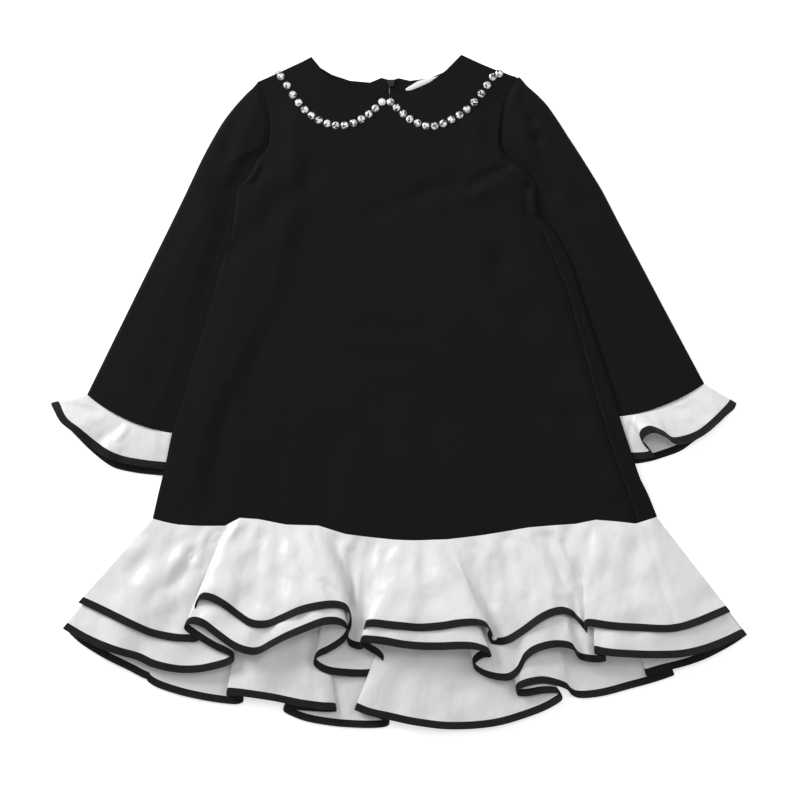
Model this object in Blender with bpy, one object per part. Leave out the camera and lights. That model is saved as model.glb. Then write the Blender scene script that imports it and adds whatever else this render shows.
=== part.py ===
"""A girl's long-sleeve A-line dress, laid flat with its front up.

Every piece of cloth is a wall on a grid of points. Places are measured in millimetres on a
laying-out board, x to the right and y down from its top left corner, and turned into metres
with the middle of the dress at the origin, the neck towards +Y and the board at z = 0.
"""
import math

import bmesh
import bpy
from mathutils import Vector

MM = 0.001
BOARD_MIDDLE = (397.5, 392.0)

# Thicknesses and gaps, in millimetres
PONTE = 1.2
SATIN = 1.0
BINDING = 1.4
BINDING_WIDTH = 7.6
CUFF_BINDING = 1.1
CUFF_START = 1.2
CUFF_HALF_GAP = 0.85
LOWEST_MIDDLE = 0.62
EDGE_GAP = 0.6
SEAM_GAP = 0.35
LAYER_GAP = 0.35
BODY_GAP = 0.6
TIER_PITCH = 1.9
TIER_REACH = 25.0
TIER_ROWS = 5
FRONT_SEAM_Z = 5.7
BACK_SEAM_Z = 2.1
FLAT_TIER_Z = 0.55
SLEEVE_FLAT = 2.9
SLEEVE_PUFF = 3.0
SIDE_LIFT = SLEEVE_FLAT + LAYER_GAP
LIFT_RAMP = 24.0
LIFT_MARGIN = 14.0
BODY_PUFF = 1.4

# Centre-back zip
ZIP_X = 391.0
ZIP_TOP = 81.0
ZIP_END = 310.0
ZIP_HALF = 1.5
SLIDER_HALF = 4.2
SLIDER_LENGTH = 7.5

STONE_RADIUS = 3.9
STONE_TABLE_RADIUS = 2.3
STONE_HEIGHT = 2.4
STONE_SIDES = 8

# One row for each level of the body: y, left edge x, right edge x. The first five are armhole.
BODY_LEVELS = [
    (81, 257.8, 521.0), (97, 265.0, 507.0), (114, 269.8, 502.0), (134, 269.8, 499.2),
    (148, 267.0, 500.0), (160, 257.0, 505.5), (172, 251.6, 525.0), (190, 237.2, 535.0),
    (216, 234.2, 540.0), (240, 230.0, 556.0), (270, 219.5, 571.0), (310, 208.8, 584.0),
    (350, 196.3, 597.5), (400, 182.5, 614.0), (433, 172.0, 624.5), (463, 165.7, 634.5),
    (480, 161.5, 640.5), (496, 157.6, 648.5), (518, 152.4, 657.5),
]

# One row for each line down the body: top x, front top y, back top y, hem x, front hem y,
# back hem y. The neck points are the highest rows.
BODY_LINES = [
    (257.8, 81.0, 81.0, 152.4, 518.6, 518.6), (264.5, 78.4, 78.4, 165.0, 522.0, 528.0),
    (271.5, 75.4, 75.4, 178.0, 524.5, 537.0), (281.0, 71.2, 71.2, 193.0, 525.5, 546.0),
    (291.0, 66.5, 66.5, 209.0, 525.8, 553.0), (302.0, 61.5, 61.5, 225.0, 525.5, 559.0),
    (311.5, 56.5, 56.5, 240.0, 517.8, 563.0),
    (320.0, 70.0, 67.0, 258.0, 519.0, 568.0), (332.0, 80.0, 74.0, 286.0, 524.5, 575.0),
    (350.0, 88.0, 80.0, 318.0, 525.5, 581.0), (370.0, 92.5, 81.5, 346.0, 534.0, 586.0),
    (391.0, 94.0, 80.0, 391.0, 539.3, 590.0), (410.0, 91.0, 80.0, 415.0, 540.3, 590.0),
    (430.0, 82.0, 77.5, 447.0, 539.3, 587.0), (446.0, 70.0, 70.5, 484.0, 534.8, 581.0),
    (461.4, 54.4, 54.4, 530.0, 527.2, 570.0), (473.0, 59.8, 59.8, 556.0, 525.0, 562.0),
    (484.0, 64.7, 64.7, 576.0, 523.7, 555.0), (495.0, 69.2, 69.2, 596.0, 519.6, 547.0),
    (504.0, 72.0, 72.0, 615.0, 521.2, 538.0), (512.5, 75.4, 75.4, 636.0, 523.5, 528.0),
    (521.0, 80.0, 80.0, 657.5, 516.7, 516.7),
]
CENTRE_LINE = 11

# How far the sleeves reach in under the body: y, left x, right x
SLEEVE_REACH = [
    (100, 276.0, 494.0), (200, 275.0, 500.0), (230, 268.0, 512.0), (265, 262.0, 524.0),
    (310, 246.0, 546.0), (372, 214.0, 580.0), (437, 182.0, 613.0), (500, 172.0, 630.0),
]

# Sleeves, a row for each section: outer x, outer y, inner x, inner y, bow towards the cuff
LEFT_SLEEVE = [
    (252.5, 88.0, 261.4, 92.5, 0.0), (247.5, 92.5, 264.7, 100.5, 0.0),
    (241.7, 98.6, 267.4, 110.0, 0.0), (233.0, 108.5, 268.5, 122.0, 0.0),
    (222.5, 122.5, 268.4, 136.0, 0.0), (211.0, 142.0, 264.8, 149.5, 0.0),
    (202.0, 159.0, 262.0, 163.0, 0.0), (192.5, 179.0, 264.0, 190.0, 0.0),
    (182.8, 199.6, 266.0, 222.0, 0.0), (166.0, 234.0, 260.0, 264.0, 0.0),
    (143.0, 280.5, 243.0, 310.0, 1.0), (115.0, 337.5, 212.0, 372.0, 3.0),
    (86.9, 394.8, 178.0, 437.0, 6.5),
]
RIGHT_SLEEVE = [
    (527.0, 85.5, 514.8, 89.0, 0.0), (532.5, 90.3, 509.3, 97.0, 0.0),
    (538.5, 95.8, 505.9, 106.0, 0.0), (547.0, 104.9, 502.8, 118.0, 0.0),
    (557.0, 119.0, 500.9, 132.0, 0.0), (566.0, 133.0, 501.2, 146.0, 0.0),
    (579.2, 153.3, 505.0, 161.0, 0.0), (590.0, 170.5, 506.0, 187.0, 0.0),
    (603.0, 192.0, 510.0, 217.0, 0.0), (618.0, 221.0, 519.0, 253.0, 0.0),
    (640.0, 262.5, 542.0, 299.0, 0.0), (668.0, 315.5, 574.0, 358.0, 1.0),
    (704.5, 383.9, 615.0, 430.0, 2.0),
]

# Cuff flounces, a row for each fold round the cuff: share of the seam, hem x, hem y, hem z.
# The first rows are the top layer, outer edge to inner edge, and the rest return beneath.
LEFT_CUFF_FOLDS = [
    (0.00, 58.0, 401.5, 2.4), (0.02, 60.0, 404.0, 4.5), (0.12, 66.0, 413.0, 8.0),
    (0.24, 80.0, 427.0, 10.0), (0.38, 96.0, 441.4, 7.5), (0.52, 109.2, 450.2, 9.5),
    (0.66, 124.0, 456.1, 7.0), (0.82, 144.4, 459.8, 5.0), (0.93, 160.0, 461.6, 3.0),
    (0.975, 166.5, 462.4, 2.35), (1.00, 172.0, 464.0, 1.55), (0.975, 166.5, 462.6, 0.75),
    (0.88, 156.0, 465.0, 0.75), (0.74, 136.0, 463.0, 0.75), (0.58, 116.0, 458.0, 0.75),
    (0.42, 98.0, 447.0, 0.75), (0.26, 80.0, 431.0, 0.75), (0.12, 65.0, 415.0, 0.75),
    (0.02, 59.0, 405.0, 0.75),
]
RIGHT_CUFF_FOLDS = [
    (0.00, 730.2, 399.5, 2.4), (0.02, 728.0, 403.0, 4.5), (0.12, 713.0, 417.9, 8.0),
    (0.26, 699.4, 428.9, 9.0), (0.40, 686.2, 434.8, 10.0), (0.52, 672.0, 436.5, 13.0),
    (0.62, 660.0, 431.5, 15.0), (0.72, 649.0, 430.5, 14.0), (0.84, 640.5, 436.0, 9.0),
    (0.93, 634.0, 442.0, 3.0), (0.97, 629.0, 445.0, 2.35), (1.00, 624.0, 449.0, 1.55),
    (0.97, 629.0, 445.3, 0.75), (0.86, 643.0, 452.0, 0.75), (0.72, 661.0, 449.0, 0.75),
    (0.54, 678.0, 443.0, 0.75), (0.38, 692.0, 434.0, 0.75), (0.24, 706.0, 425.0, 0.75),
    (0.12, 718.0, 413.5, 0.75), (0.02, 728.5, 404.5, 0.75),
]

# Hem flounce, front, a row for each fold: seam x, then the upper tier's hem x, y and z.
# The hem drops steeply between a fold's crest and the valley beside it.
FRONT_FOLDS = [
    (153.0, 83.4, 596.7, 7.5), (162.0, 106.3, 607.0, 12.0), (175.0, 132.9, 619.4, 15.0),
    (188.0, 152.8, 628.2, 14.5), (200.0, 172.7, 632.7, 13.0), (209.0, 188.0, 633.5, 12.0),
    (216.0, 195.5, 633.0, 12.5), (221.0, 197.5, 622.0, 15.0), (226.0, 199.0, 609.0, 18.2),
    (231.0, 203.0, 599.0, 20.6), (237.0, 210.0, 592.8, 22.2), (243.0, 218.0, 594.0, 23.2),
    (247.0, 227.4, 600.3, 23.5), (254.0, 239.0, 609.4, 22.5), (262.0, 252.2, 617.7, 22.0),
    (271.0, 267.2, 618.9, 23.0), (281.0, 281.0, 613.6, 24.0), (294.0, 300.0, 605.0, 26.0),
    (308.0, 321.5, 600.0, 27.0), (320.0, 336.0, 599.3, 26.5), (327.0, 344.5, 602.0, 25.0),
    (332.0, 348.0, 608.5, 22.5), (336.0, 350.0, 618.0, 19.0), (340.0, 351.0, 629.0, 15.0),
    (346.0, 353.0, 637.5, 12.5), (355.0, 357.5, 641.0, 12.0), (366.0, 362.0, 640.0, 12.5),
    (375.0, 364.5, 634.0, 15.0), (382.0, 366.5, 626.0, 18.6), (389.0, 370.0, 620.0, 22.0),
    (396.0, 378.0, 618.6, 24.2), (404.0, 389.0, 619.5, 25.2), (413.0, 403.0, 620.8, 25.0),
    (421.0, 420.0, 622.3, 24.5), (427.0, 440.0, 620.8, 25.5), (432.0, 459.0, 617.7, 26.5),
    (437.0, 474.0, 617.4, 26.0), (442.0, 483.0, 620.5, 23.5), (447.0, 487.5, 627.0, 19.5),
    (452.0, 489.5, 633.5, 15.5), (459.0, 493.5, 636.6, 13.0), (471.0, 505.0, 636.0, 13.0),
    (486.0, 520.5, 626.9, 16.0), (502.0, 536.6, 614.4, 20.0), (519.0, 549.9, 607.8, 22.0),
    (537.0, 561.0, 605.8, 20.5), (553.0, 571.0, 609.0, 17.0), (565.0, 577.5, 616.0, 14.2),
    (576.0, 581.5, 622.5, 13.5), (583.0, 583.5, 622.8, 16.5), (589.0, 586.0, 619.5, 20.5),
    (596.0, 592.0, 618.0, 22.5), (605.0, 611.2, 620.7, 22.5), (619.0, 639.4, 622.7, 21.5),
    (634.0, 669.3, 623.5, 20.5), (647.0, 694.0, 617.7, 15.0), (656.8, 725.6, 605.6, 7.5),
]

# Hem flounce, back, a row for each fold: seam x, then the lower tier's hem x, y and z
BACK_FOLDS = [
    (153.0, 76.0, 634.0, 2.6), (163.0, 98.0, 646.0, 3.4), (176.0, 123.0, 659.5, 4.0),
    (190.0, 148.0, 677.0, 3.4), (204.0, 176.0, 687.0, 3.0), (216.0, 204.0, 694.0, 3.0),
    (225.0, 220.0, 696.0, 3.4), (232.0, 227.0, 694.0, 5.6), (238.0, 229.5, 690.0, 8.2),
    (245.0, 236.0, 688.0, 9.8), (254.0, 248.0, 689.0, 10.4), (268.0, 272.0, 693.0, 10.0),
    (284.0, 300.0, 699.0, 10.2), (298.0, 322.0, 701.5, 10.0), (306.0, 331.0, 703.5, 8.6),
    (312.0, 334.5, 709.0, 5.8), (319.0, 337.5, 716.0, 3.4), (331.0, 346.0, 720.0, 3.0),
    (345.0, 354.0, 720.5, 3.2), (357.0, 358.5, 716.0, 5.4), (367.0, 361.0, 709.5, 8.0),
    (378.0, 366.0, 706.8, 9.8), (390.0, 376.0, 708.8, 10.4), (404.0, 396.0, 714.0, 10.0),
    (418.0, 421.0, 719.0, 9.8), (433.0, 446.0, 722.0, 9.8), (449.0, 471.0, 722.0, 10.0),
    (465.0, 496.0, 719.0, 10.2), (481.0, 519.0, 713.0, 10.4), (496.0, 541.0, 703.5, 10.2),
    (507.0, 552.5, 698.0, 8.6), (516.0, 557.5, 692.0, 5.8), (526.0, 561.5, 686.0, 3.4),
    (540.0, 568.0, 683.5, 3.0), (553.0, 579.0, 684.0, 3.2), (570.0, 600.0, 681.5, 3.8),
    (589.0, 629.0, 675.5, 3.4), (610.0, 660.0, 668.0, 3.2), (630.0, 694.0, 657.0, 3.6),
    (645.0, 719.0, 645.0, 3.2), (656.8, 738.0, 632.0, 2.6),
]

# Stones of the collar outline: x, y
STONES = [
    (280.7, 76.2), (286.9, 85.2), (292.7, 94.4), (298.6, 102.5), (304.7, 109.6), (311.5, 115.3),
    (318.9, 119.9), (327.3, 123.3), (335.7, 125.2), (344.6, 125.2), (353.4, 122.8),
    (361.4, 118.9), (368.8, 114.0), (375.4, 108.2), (382.0, 101.8), (390.4, 101.8),
    (396.6, 107.4), (403.2, 113.5), (409.8, 118.9), (417.6, 122.9), (426.0, 125.6),
    (434.7, 125.7), (443.3, 123.3), (451.5, 119.3), (459.6, 114.8), (467.1, 109.3),
    (474.3, 101.9), (481.4, 93.5), (487.3, 84.9), (492.9, 76.6),
]

# Blank neck label: x, upper edge y, lower edge y
LABEL = [(407.5, 88.0, 89.4), (412.0, 84.0, 88.4), (418.5, 80.6, 85.8), (428.0, 78.8, 81.8),
         (434.0, 77.4, 78.4)]


def material(name, colour, roughness, metallic=0.0):
    """A plain finish in the piece's own colour."""
    finish = bpy.data.materials.new(name)
    finish.use_nodes = True
    shader = finish.node_tree.nodes["Principled BSDF"]
    shader.inputs["Base Color"].default_value = (*colour, 1.0)
    shader.inputs["Roughness"].default_value = roughness
    shader.inputs["Metallic"].default_value = metallic
    return finish


def place(x, y, z):
    """A board place in millimetres as a point of the dress in metres."""
    return Vector(((x - BOARD_MIDDLE[0]) * MM, (BOARD_MIDDLE[1] - y) * MM, z * MM))


def smooth_step(value):
    """0 below 0, 1 above 1, and an easy slope between."""
    value = min(max(value, 0.0), 1.0)
    return value * value * (3.0 - 2.0 * value)


def table_value(table, key, column):
    """Read a column of a table at a value of its first column."""
    if key <= table[0][0]:
        return table[0][column]
    for low, high in zip(table, table[1:]):
        if key <= high[0]:
            share = (key - low[0]) / (high[0] - low[0])
            return low[column] + share * (high[column] - low[column])
    return table[-1][column]


def grid_normals(grid, ring):
    """The way that each point of a grid faces."""
    count = len(grid)
    depth = len(grid[0])
    normals = []
    for i in range(count):
        before = grid[(i - 1) % count] if ring else grid[max(i - 1, 0)]
        after = grid[(i + 1) % count] if ring else grid[min(i + 1, count - 1)]
        line = []
        for j in range(depth):
            across = after[j] - before[j]
            down = grid[i][min(j + 1, depth - 1)] - grid[i][max(j - 1, 0)]
            line.append(down.cross(across).normalized())
        normals.append(line)
    return normals


def wall(name, grid, thickness, finish, ring=False, normals=None):
    """A closed wall of even thickness on a grid of points, open or joined into a ring."""
    count = len(grid)
    depth = len(grid[0])
    normals = normals or grid_normals(grid, ring)
    mesh = bmesh.new()
    skins = []
    for side in (0.5, -0.5):
        reach = side * thickness * MM
        skins.append([[mesh.verts.new(grid[i][j] + normals[i][j] * reach) for j in range(depth)]
                      for i in range(count)])
    upper, lower = skins
    spans = count if ring else count - 1
    for i in range(spans):
        k = (i + 1) % count
        for j in range(depth - 1):
            mesh.faces.new((upper[i][j], upper[i][j + 1], upper[k][j + 1], upper[k][j]))
            mesh.faces.new((lower[i][j], lower[k][j], lower[k][j + 1], lower[i][j + 1]))
        for j in (0, depth - 1):
            mesh.faces.new((upper[i][j], upper[k][j], lower[k][j], lower[i][j]))
    if not ring:
        for i in (0, count - 1):
            for j in range(depth - 1):
                mesh.faces.new((upper[i][j], upper[i][j + 1], lower[i][j + 1], lower[i][j]))
    return finish_piece(name, mesh, finish)


def finish_piece(name, mesh, finish):
    """Turn a bmesh into a named piece with its faces out and round faces smooth."""
    bmesh.ops.triangulate(mesh, faces=mesh.faces)
    bmesh.ops.recalc_face_normals(mesh, faces=mesh.faces)
    data = bpy.data.meshes.new(name)
    mesh.to_mesh(data)
    mesh.free()
    data.shade_smooth()
    data.set_sharp_from_angle(angle=math.radians(40))
    data.materials.append(finish)
    piece = bpy.data.objects.new(name, data)
    bpy.context.scene.collection.objects.link(piece)
    return piece


def side_lift(x, y):
    """How far the body is raised by the sleeve that lies under its side."""
    left = table_value(SLEEVE_REACH, y, 1) + LIFT_MARGIN + LIFT_RAMP
    right = table_value(SLEEVE_REACH, y, 2) - LIFT_MARGIN - LIFT_RAMP
    over = max(smooth_step((left - x) / LIFT_RAMP), smooth_step((x - right) / LIFT_RAMP))
    level = smooth_step((y - 95.0) / 35.0) * smooth_step((520.0 - y) / 45.0)
    return SIDE_LIFT * over * level


def body_point(line, level, top_column, hem_column):
    """A board place on the body, where a line down it crosses a level."""
    top_x = line[0]
    hem_x = line[3]
    first = BODY_LINES[0]
    last = BODY_LINES[-1]
    down = (level[0] - BODY_LEVELS[0][0]) / (BODY_LEVELS[-1][0] - BODY_LEVELS[0][0])
    across = (1 - down) * (top_x - first[0]) / (last[0] - first[0])
    across += down * (hem_x - first[3]) / (last[3] - first[3])
    x = level[1] + across * (level[2] - level[1])
    x += (1 - down) * (top_x - first[0] - across * (last[0] - first[0]))
    top_y = line[top_column] - BODY_LEVELS[0][0]
    hem_y = line[hem_column] - BODY_LEVELS[-1][0]
    y = level[0] + (1 - down) * top_y + down * hem_y
    return x, y


def front_height(x, y):
    """Middle of the front wall above the board."""
    centre = smooth_step((min(x - body_edge(y, 1), body_edge(y, 2) - x)) / 60.0)
    return side_lift(x, y) + 1.5 * PONTE + BODY_GAP + BODY_PUFF * centre


def body_edge(y, column):
    """The x of the body's left or right edge at a level."""
    return table_value(BODY_LEVELS, y, column)


def back_height(x, y):
    """Middle of the back wall above the board."""
    return side_lift(x, y) + 0.5 * PONTE


def build_front(black):
    """The front, one panel from the shoulders to the flounce seam."""
    grid = []
    for line in BODY_LINES:
        column = []
        for level in BODY_LEVELS:
            x, y = body_point(line, level, 1, 4)
            column.append(place(x, y, front_height(x, y)))
        grid.append(column)
    return wall("front_panel", grid, PONTE, black)


def build_back(name, lines, side, black):
    """Half of the back, with its straight edge along the zip and the centre seam."""
    grid = []
    for line in lines:
        column = []
        for level in BODY_LEVELS:
            x, y = body_point(line, level, 2, 5)
            if line is BODY_LINES[CENTRE_LINE]:
                half_gap = ZIP_HALF + SEAM_GAP if y < ZIP_END else 0.5 * SEAM_GAP
                x = ZIP_X + side * half_gap
            column.append(place(x, y, back_height(x, y)))
        grid.append(column)
    return wall(name, grid, PONTE, black)


def section_place(section, across):
    """A board place across a sleeve section, from its outer edge to its inner edge."""
    outer_x, outer_y, inner_x, inner_y, bow = section
    along_x = inner_x - outer_x
    along_y = inner_y - outer_y
    width = math.hypot(along_x, along_y)
    push = 4.0 * bow * across * (1.0 - across)
    turn = 1.0 if along_x > 0 else -1.0
    x = outer_x + across * along_x - turn * push * along_y / width
    y = outer_y + across * along_y + turn * push * along_x / width
    return x, y


def sleeve_top(side, x, y):
    """Top of the sleeve above the board: flat under the body, fuller where it shows."""
    edge = table_value(BODY_LEVELS, y, 1 if side < 0 else 2)
    shown = smooth_step((side * (x - edge) - 14.0) / 16.0)
    return SLEEVE_FLAT + SLEEVE_PUFF * shown


def build_sleeve(name, side, sections, black):
    """A set-in sleeve, a tube that lies flat from the shoulder to the cuff seam."""
    shares = [0.0, 0.025, 0.13, 0.26, 0.4, 0.54, 0.68, 0.82, 0.975, 1.0]
    ring = [(share, 1) for share in shares[:-1]] + [(share, -1) for share in shares[:0:-1]]
    grid = []
    for share, skin in ring:
        column = []
        for section in sections:
            width = math.dist(section[0:2], section[2:4])
            across = share
            inset = min(2.0 / width, 0.2)
            if 0.0 < share < 1.0:
                across = inset + (share - shares[1]) / (shares[-2] - shares[1]) * (1.0 - 2.0 * inset)
            x, y = section_place(section, across)
            height = 0.5 * SLEEVE_FLAT
            if 0.0 < share < 1.0:
                height = sleeve_top(side, x, y) - 0.5 * PONTE if skin > 0 else 0.5 * PONTE
            column.append(place(x, y, height))
        grid.append(column)
    return wall(name, grid, PONTE, black, ring=True)


def cuff_grid(section, folds, stops):
    """Points round a cuff flounce, from its seam outwards, at the given reaches."""
    grid = []
    widest = max(range(len(folds)), key=lambda k: folds[k][0])
    for index, (share_of_seam, hem_x, hem_y, hem_z) in enumerate(folds):
        seam_x, seam_y = section_place(section, share_of_seam)
        seam_z = 0.5 * SLEEVE_FLAT
        if index not in (0, widest):
            seam_z += CUFF_HALF_GAP if index < widest else -CUFF_HALF_GAP
        length = math.hypot(hem_x - seam_x, hem_y - seam_y)
        ux = (hem_x - seam_x) / length
        uy = (hem_y - seam_y) / length
        column = []
        for share, extra in stops:
            reach = CUFF_START + share * (length - CUFF_START) + extra
            z = seam_z + (hem_z - seam_z) * reach / length
            column.append(place(seam_x + ux * reach, seam_y + uy * reach, max(z, LOWEST_MIDDLE)))
        grid.append(column)
    return grid


def build_cuff(which, section, folds, white, black):
    """A cuff flounce and its binding, each a ring that lies flat beneath and waves on top."""
    stops = [(0.0, 0.0), (0.35, 0.0), (0.7, 0.0), (1.0, 0.0), (1.0, EDGE_GAP),
             (1.0, BINDING_WIDTH)]
    grid = cuff_grid(section, folds, stops)
    normals = grid_normals(grid, True)
    cloth = [column[:4] for column in grid]
    edge = [column[4:] for column in grid]
    wall("cuff_flounce_" + which, cloth, SATIN, white, True, [line[:4] for line in normals])
    wall("cuff_binding_" + which, edge, CUFF_BINDING, black, True, [line[4:] for line in normals])


def hem_seam_y(seam_x, column):
    """The level of the flounce seam across the front or back hem."""
    return table_value([(line[3], line[column]) for line in BODY_LINES], seam_x, 1)


def flounce_grid(folds, seam_column, seam_z, stops):
    """Points down each fold of a hem flounce at given reaches past its table's hem."""
    grid = []
    for seam_x, hem_x, hem_y, hem_z in folds:
        seam_y = hem_seam_y(seam_x, seam_column)
        length = math.hypot(hem_x - seam_x, hem_y - seam_y)
        ux = (hem_x - seam_x) / length
        uy = (hem_y - seam_y) / length
        column = []
        for share, extra in stops:
            reach = 0.8 + share * (length - 0.8) + extra
            z = seam_z + (hem_z - seam_z) * smooth_rise(reach / length)
            column.append(place(seam_x + ux * reach, seam_y + uy * reach, z))
        grid.append(column)
    return grid


def smooth_rise(share):
    """Height of a fold down its length: it swells out early and levels off at the hem."""
    return share if share > 1.0 else 1.0 - (1.0 - share) ** 1.25


def shifted(grid, distance):
    """The grid moved along its own normals, for a tier that lies against another."""
    normals = grid_normals(grid, False)
    return [[point + normal * distance * MM for point, normal in zip(column, facing)]
            for column, facing in zip(grid, normals)]


def build_tier(name, grid, thickness, white, black):
    """One tier of the hem flounce with its binding."""
    normals = grid_normals(grid, False)
    cloth = [column[:TIER_ROWS] for column in grid]
    edge = [column[TIER_ROWS:] for column in grid]
    wall(name.replace("tier", "flounce"), cloth, SATIN, white,
         normals=[line[:TIER_ROWS] for line in normals])
    wall(name.replace("tier", "binding"), edge, thickness, black,
         normals=[line[TIER_ROWS:] for line in normals])


def tier_stops(extra):
    """Reaches down a tier's cloth and across its binding, for a hem moved by some length."""
    stops = [(share, extra * share) for share in (0.0, 0.3, 0.6, 0.85, 1.0)]
    return stops + [(1.0, extra + EDGE_GAP), (1.0, extra + BINDING_WIDTH)]


def box(name, corners, finish):
    """A flat-topped block on a board outline: a list of x, y, then low z and high z."""
    outline, low, high = corners
    mesh = bmesh.new()
    rings = [[mesh.verts.new(place(x, y, z)) for x, y in outline] for z in (low, high)]
    count = len(outline)
    for i in range(count):
        k = (i + 1) % count
        mesh.faces.new((rings[0][i], rings[0][k], rings[1][k], rings[1][i]))
    for ring in rings:
        mesh.faces.new(ring)
    return finish_piece(name, mesh, finish)


def build_stone(index, x, y, finish):
    """A round cut stone: a short cone with a flat table."""
    base = front_height(x, y) + 0.5 * PONTE + SEAM_GAP
    mesh = bmesh.new()
    bmesh.ops.create_cone(mesh, cap_ends=True, segments=STONE_SIDES, radius1=STONE_RADIUS * MM,
                          radius2=STONE_TABLE_RADIUS * MM, depth=STONE_HEIGHT * MM)
    bmesh.ops.translate(mesh, verts=mesh.verts, vec=place(x, y, base + 0.5 * STONE_HEIGHT))
    return finish_piece("stone_%02d" % index, mesh, finish)


def main():
    for old in list(bpy.data.objects):
        bpy.data.objects.remove(old, do_unlink=True)
    black = material("black_ponte", (0.012, 0.012, 0.013), 0.9)
    edge_black = material("black_binding", (0.014, 0.016, 0.016), 0.55)
    white = material("white_satin", (0.8, 0.8, 0.8), 0.4)
    crystal = material("clear_stone", (0.8, 0.82, 0.85), 0.1, 0.6)
    metal = material("black_metal", (0.02, 0.02, 0.02), 0.35, 0.6)
    label_white = material("label_satin", (0.75, 0.75, 0.75), 0.6)

    build_front(black)
    build_back("back_panel_left", BODY_LINES[:CENTRE_LINE + 1], -1, black)
    build_back("back_panel_right", BODY_LINES[CENTRE_LINE:], 1, black)
    build_sleeve("sleeve_left", -1, LEFT_SLEEVE, black)
    build_sleeve("sleeve_right", 1, RIGHT_SLEEVE, black)
    build_cuff("left", LEFT_SLEEVE[-1], LEFT_CUFF_FOLDS, white, edge_black)
    build_cuff("right", RIGHT_SLEEVE[-1], RIGHT_CUFF_FOLDS, white, edge_black)

    front = flounce_grid(FRONT_FOLDS, 4, FRONT_SEAM_Z, tier_stops(0.0))
    front_longer = flounce_grid(FRONT_FOLDS, 4, FRONT_SEAM_Z, tier_stops(TIER_REACH))
    flat_folds = [(seam_x, x, y, FLAT_TIER_Z) for seam_x, x, y, z in BACK_FOLDS]
    build_tier("upper_tier_front", front, BINDING, white, edge_black)
    build_tier("lower_tier_front", shifted(front_longer, -TIER_PITCH), BINDING, white, edge_black)
    build_tier("lower_tier_back", flounce_grid(BACK_FOLDS, 5, BACK_SEAM_Z, tier_stops(0.0)),
               BINDING, white, edge_black)
    build_tier("upper_tier_back", flounce_grid(flat_folds, 5, FLAT_TIER_Z, tier_stops(-TIER_REACH)),
               SATIN, white, edge_black)

    chain = [(ZIP_X - ZIP_HALF, ZIP_TOP), (ZIP_X + ZIP_HALF, ZIP_TOP),
             (ZIP_X + ZIP_HALF, ZIP_END - 2.0), (ZIP_X - ZIP_HALF, ZIP_END - 2.0)]
    box("zip_chain", (chain, 0.0, PONTE), metal)
    slider = [(ZIP_X - SLIDER_HALF, 79.2), (ZIP_X + SLIDER_HALF, 79.2),
              (ZIP_X + 2.6, 79.2 + SLIDER_LENGTH), (ZIP_X - 2.6, 79.2 + SLIDER_LENGTH)]
    box("zip_slider", (slider, PONTE + SEAM_GAP, PONTE + SEAM_GAP + 1.9), metal)
    label = [(x, upper) for x, upper, lower in LABEL]
    label += [(x, lower) for x, upper, lower in reversed(LABEL)]
    box("neck_label", (label, PONTE + SEAM_GAP, PONTE + SEAM_GAP + 0.7), label_white)
    for index, (x, y) in enumerate(STONES, start=1):
        build_stone(index, x, y, crystal)


main()
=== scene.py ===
# %% [markdown]
# # A child's black dress with white bound flounces, laid flat
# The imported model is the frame: every piece below is made in the same metres and lies on the
# solid that it stands for. Places are given in millimetres on a laying-out board, x to the
# right and y down from its top left corner, because a flat garment is measured that way.

# %% The frame and the board
import math

import bmesh
import bpy
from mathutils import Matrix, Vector, noise


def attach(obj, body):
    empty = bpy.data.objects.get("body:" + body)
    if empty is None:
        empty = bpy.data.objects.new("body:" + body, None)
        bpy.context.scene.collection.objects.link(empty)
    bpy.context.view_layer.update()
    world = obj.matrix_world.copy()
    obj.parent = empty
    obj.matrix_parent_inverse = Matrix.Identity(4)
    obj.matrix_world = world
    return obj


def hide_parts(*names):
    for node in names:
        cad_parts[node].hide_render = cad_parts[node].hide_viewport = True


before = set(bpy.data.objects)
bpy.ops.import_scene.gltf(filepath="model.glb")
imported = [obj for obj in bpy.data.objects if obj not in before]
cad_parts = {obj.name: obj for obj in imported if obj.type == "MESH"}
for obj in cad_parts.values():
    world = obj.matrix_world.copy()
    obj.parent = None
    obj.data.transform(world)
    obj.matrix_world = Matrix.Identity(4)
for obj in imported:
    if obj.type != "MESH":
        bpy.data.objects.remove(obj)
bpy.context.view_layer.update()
MM = 0.001
BOARD_MIDDLE = (397.5, 392.0)
# How thick each cloth is, in millimetres
PONTE = 1.2
SATIN = 0.9
BINDING = 0.8


def place(x, y, z):
    """A board place in millimetres as a point of the dress in metres."""
    return Vector(((x - BOARD_MIDDLE[0]) * MM, (BOARD_MIDDLE[1] - y) * MM, z * MM))


# %% [markdown]
# ## Camera, floor and light
# The photograph looks straight down, so a long lens hangs over the middle of the board. A soft
# window to the upper left is the strongest light. Weaker ones to the right and above, and an
# even white room, keep the shadows pale and give the satin its gentle greys.

# %% Camera, floor and light
CAMERA_HEIGHT = 3.0
PICTURE_MIDDLE = (400.0, 400.0)
PICTURE_WIDTH = 0.8
# The picture is true to size at this height of the cloth
TRUE_HEIGHT = 0.008
SENSOR = 36.0
# Name, place, width and power of each light
WINDOWS = [
    ("window_left", (-1.9, 1.5, 1.1), 1.0, 58.0),
    ("window_right", (2.0, 0.6, 1.6), 1.2, 10.0),
    ("window_above", (0.2, 0.9, 2.6), 0.8, 10.0),
]
ROOM_LIGHT = 0.42
camera_data = bpy.data.cameras.new("camera")
camera_data.sensor_width = SENSOR
camera_data.lens = SENSOR * (CAMERA_HEIGHT - TRUE_HEIGHT) / PICTURE_WIDTH
camera = bpy.data.objects.new("camera", camera_data)
bpy.context.scene.collection.objects.link(camera)
camera.location = place(*PICTURE_MIDDLE, CAMERA_HEIGHT / MM)
bpy.context.scene.camera = camera


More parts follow.
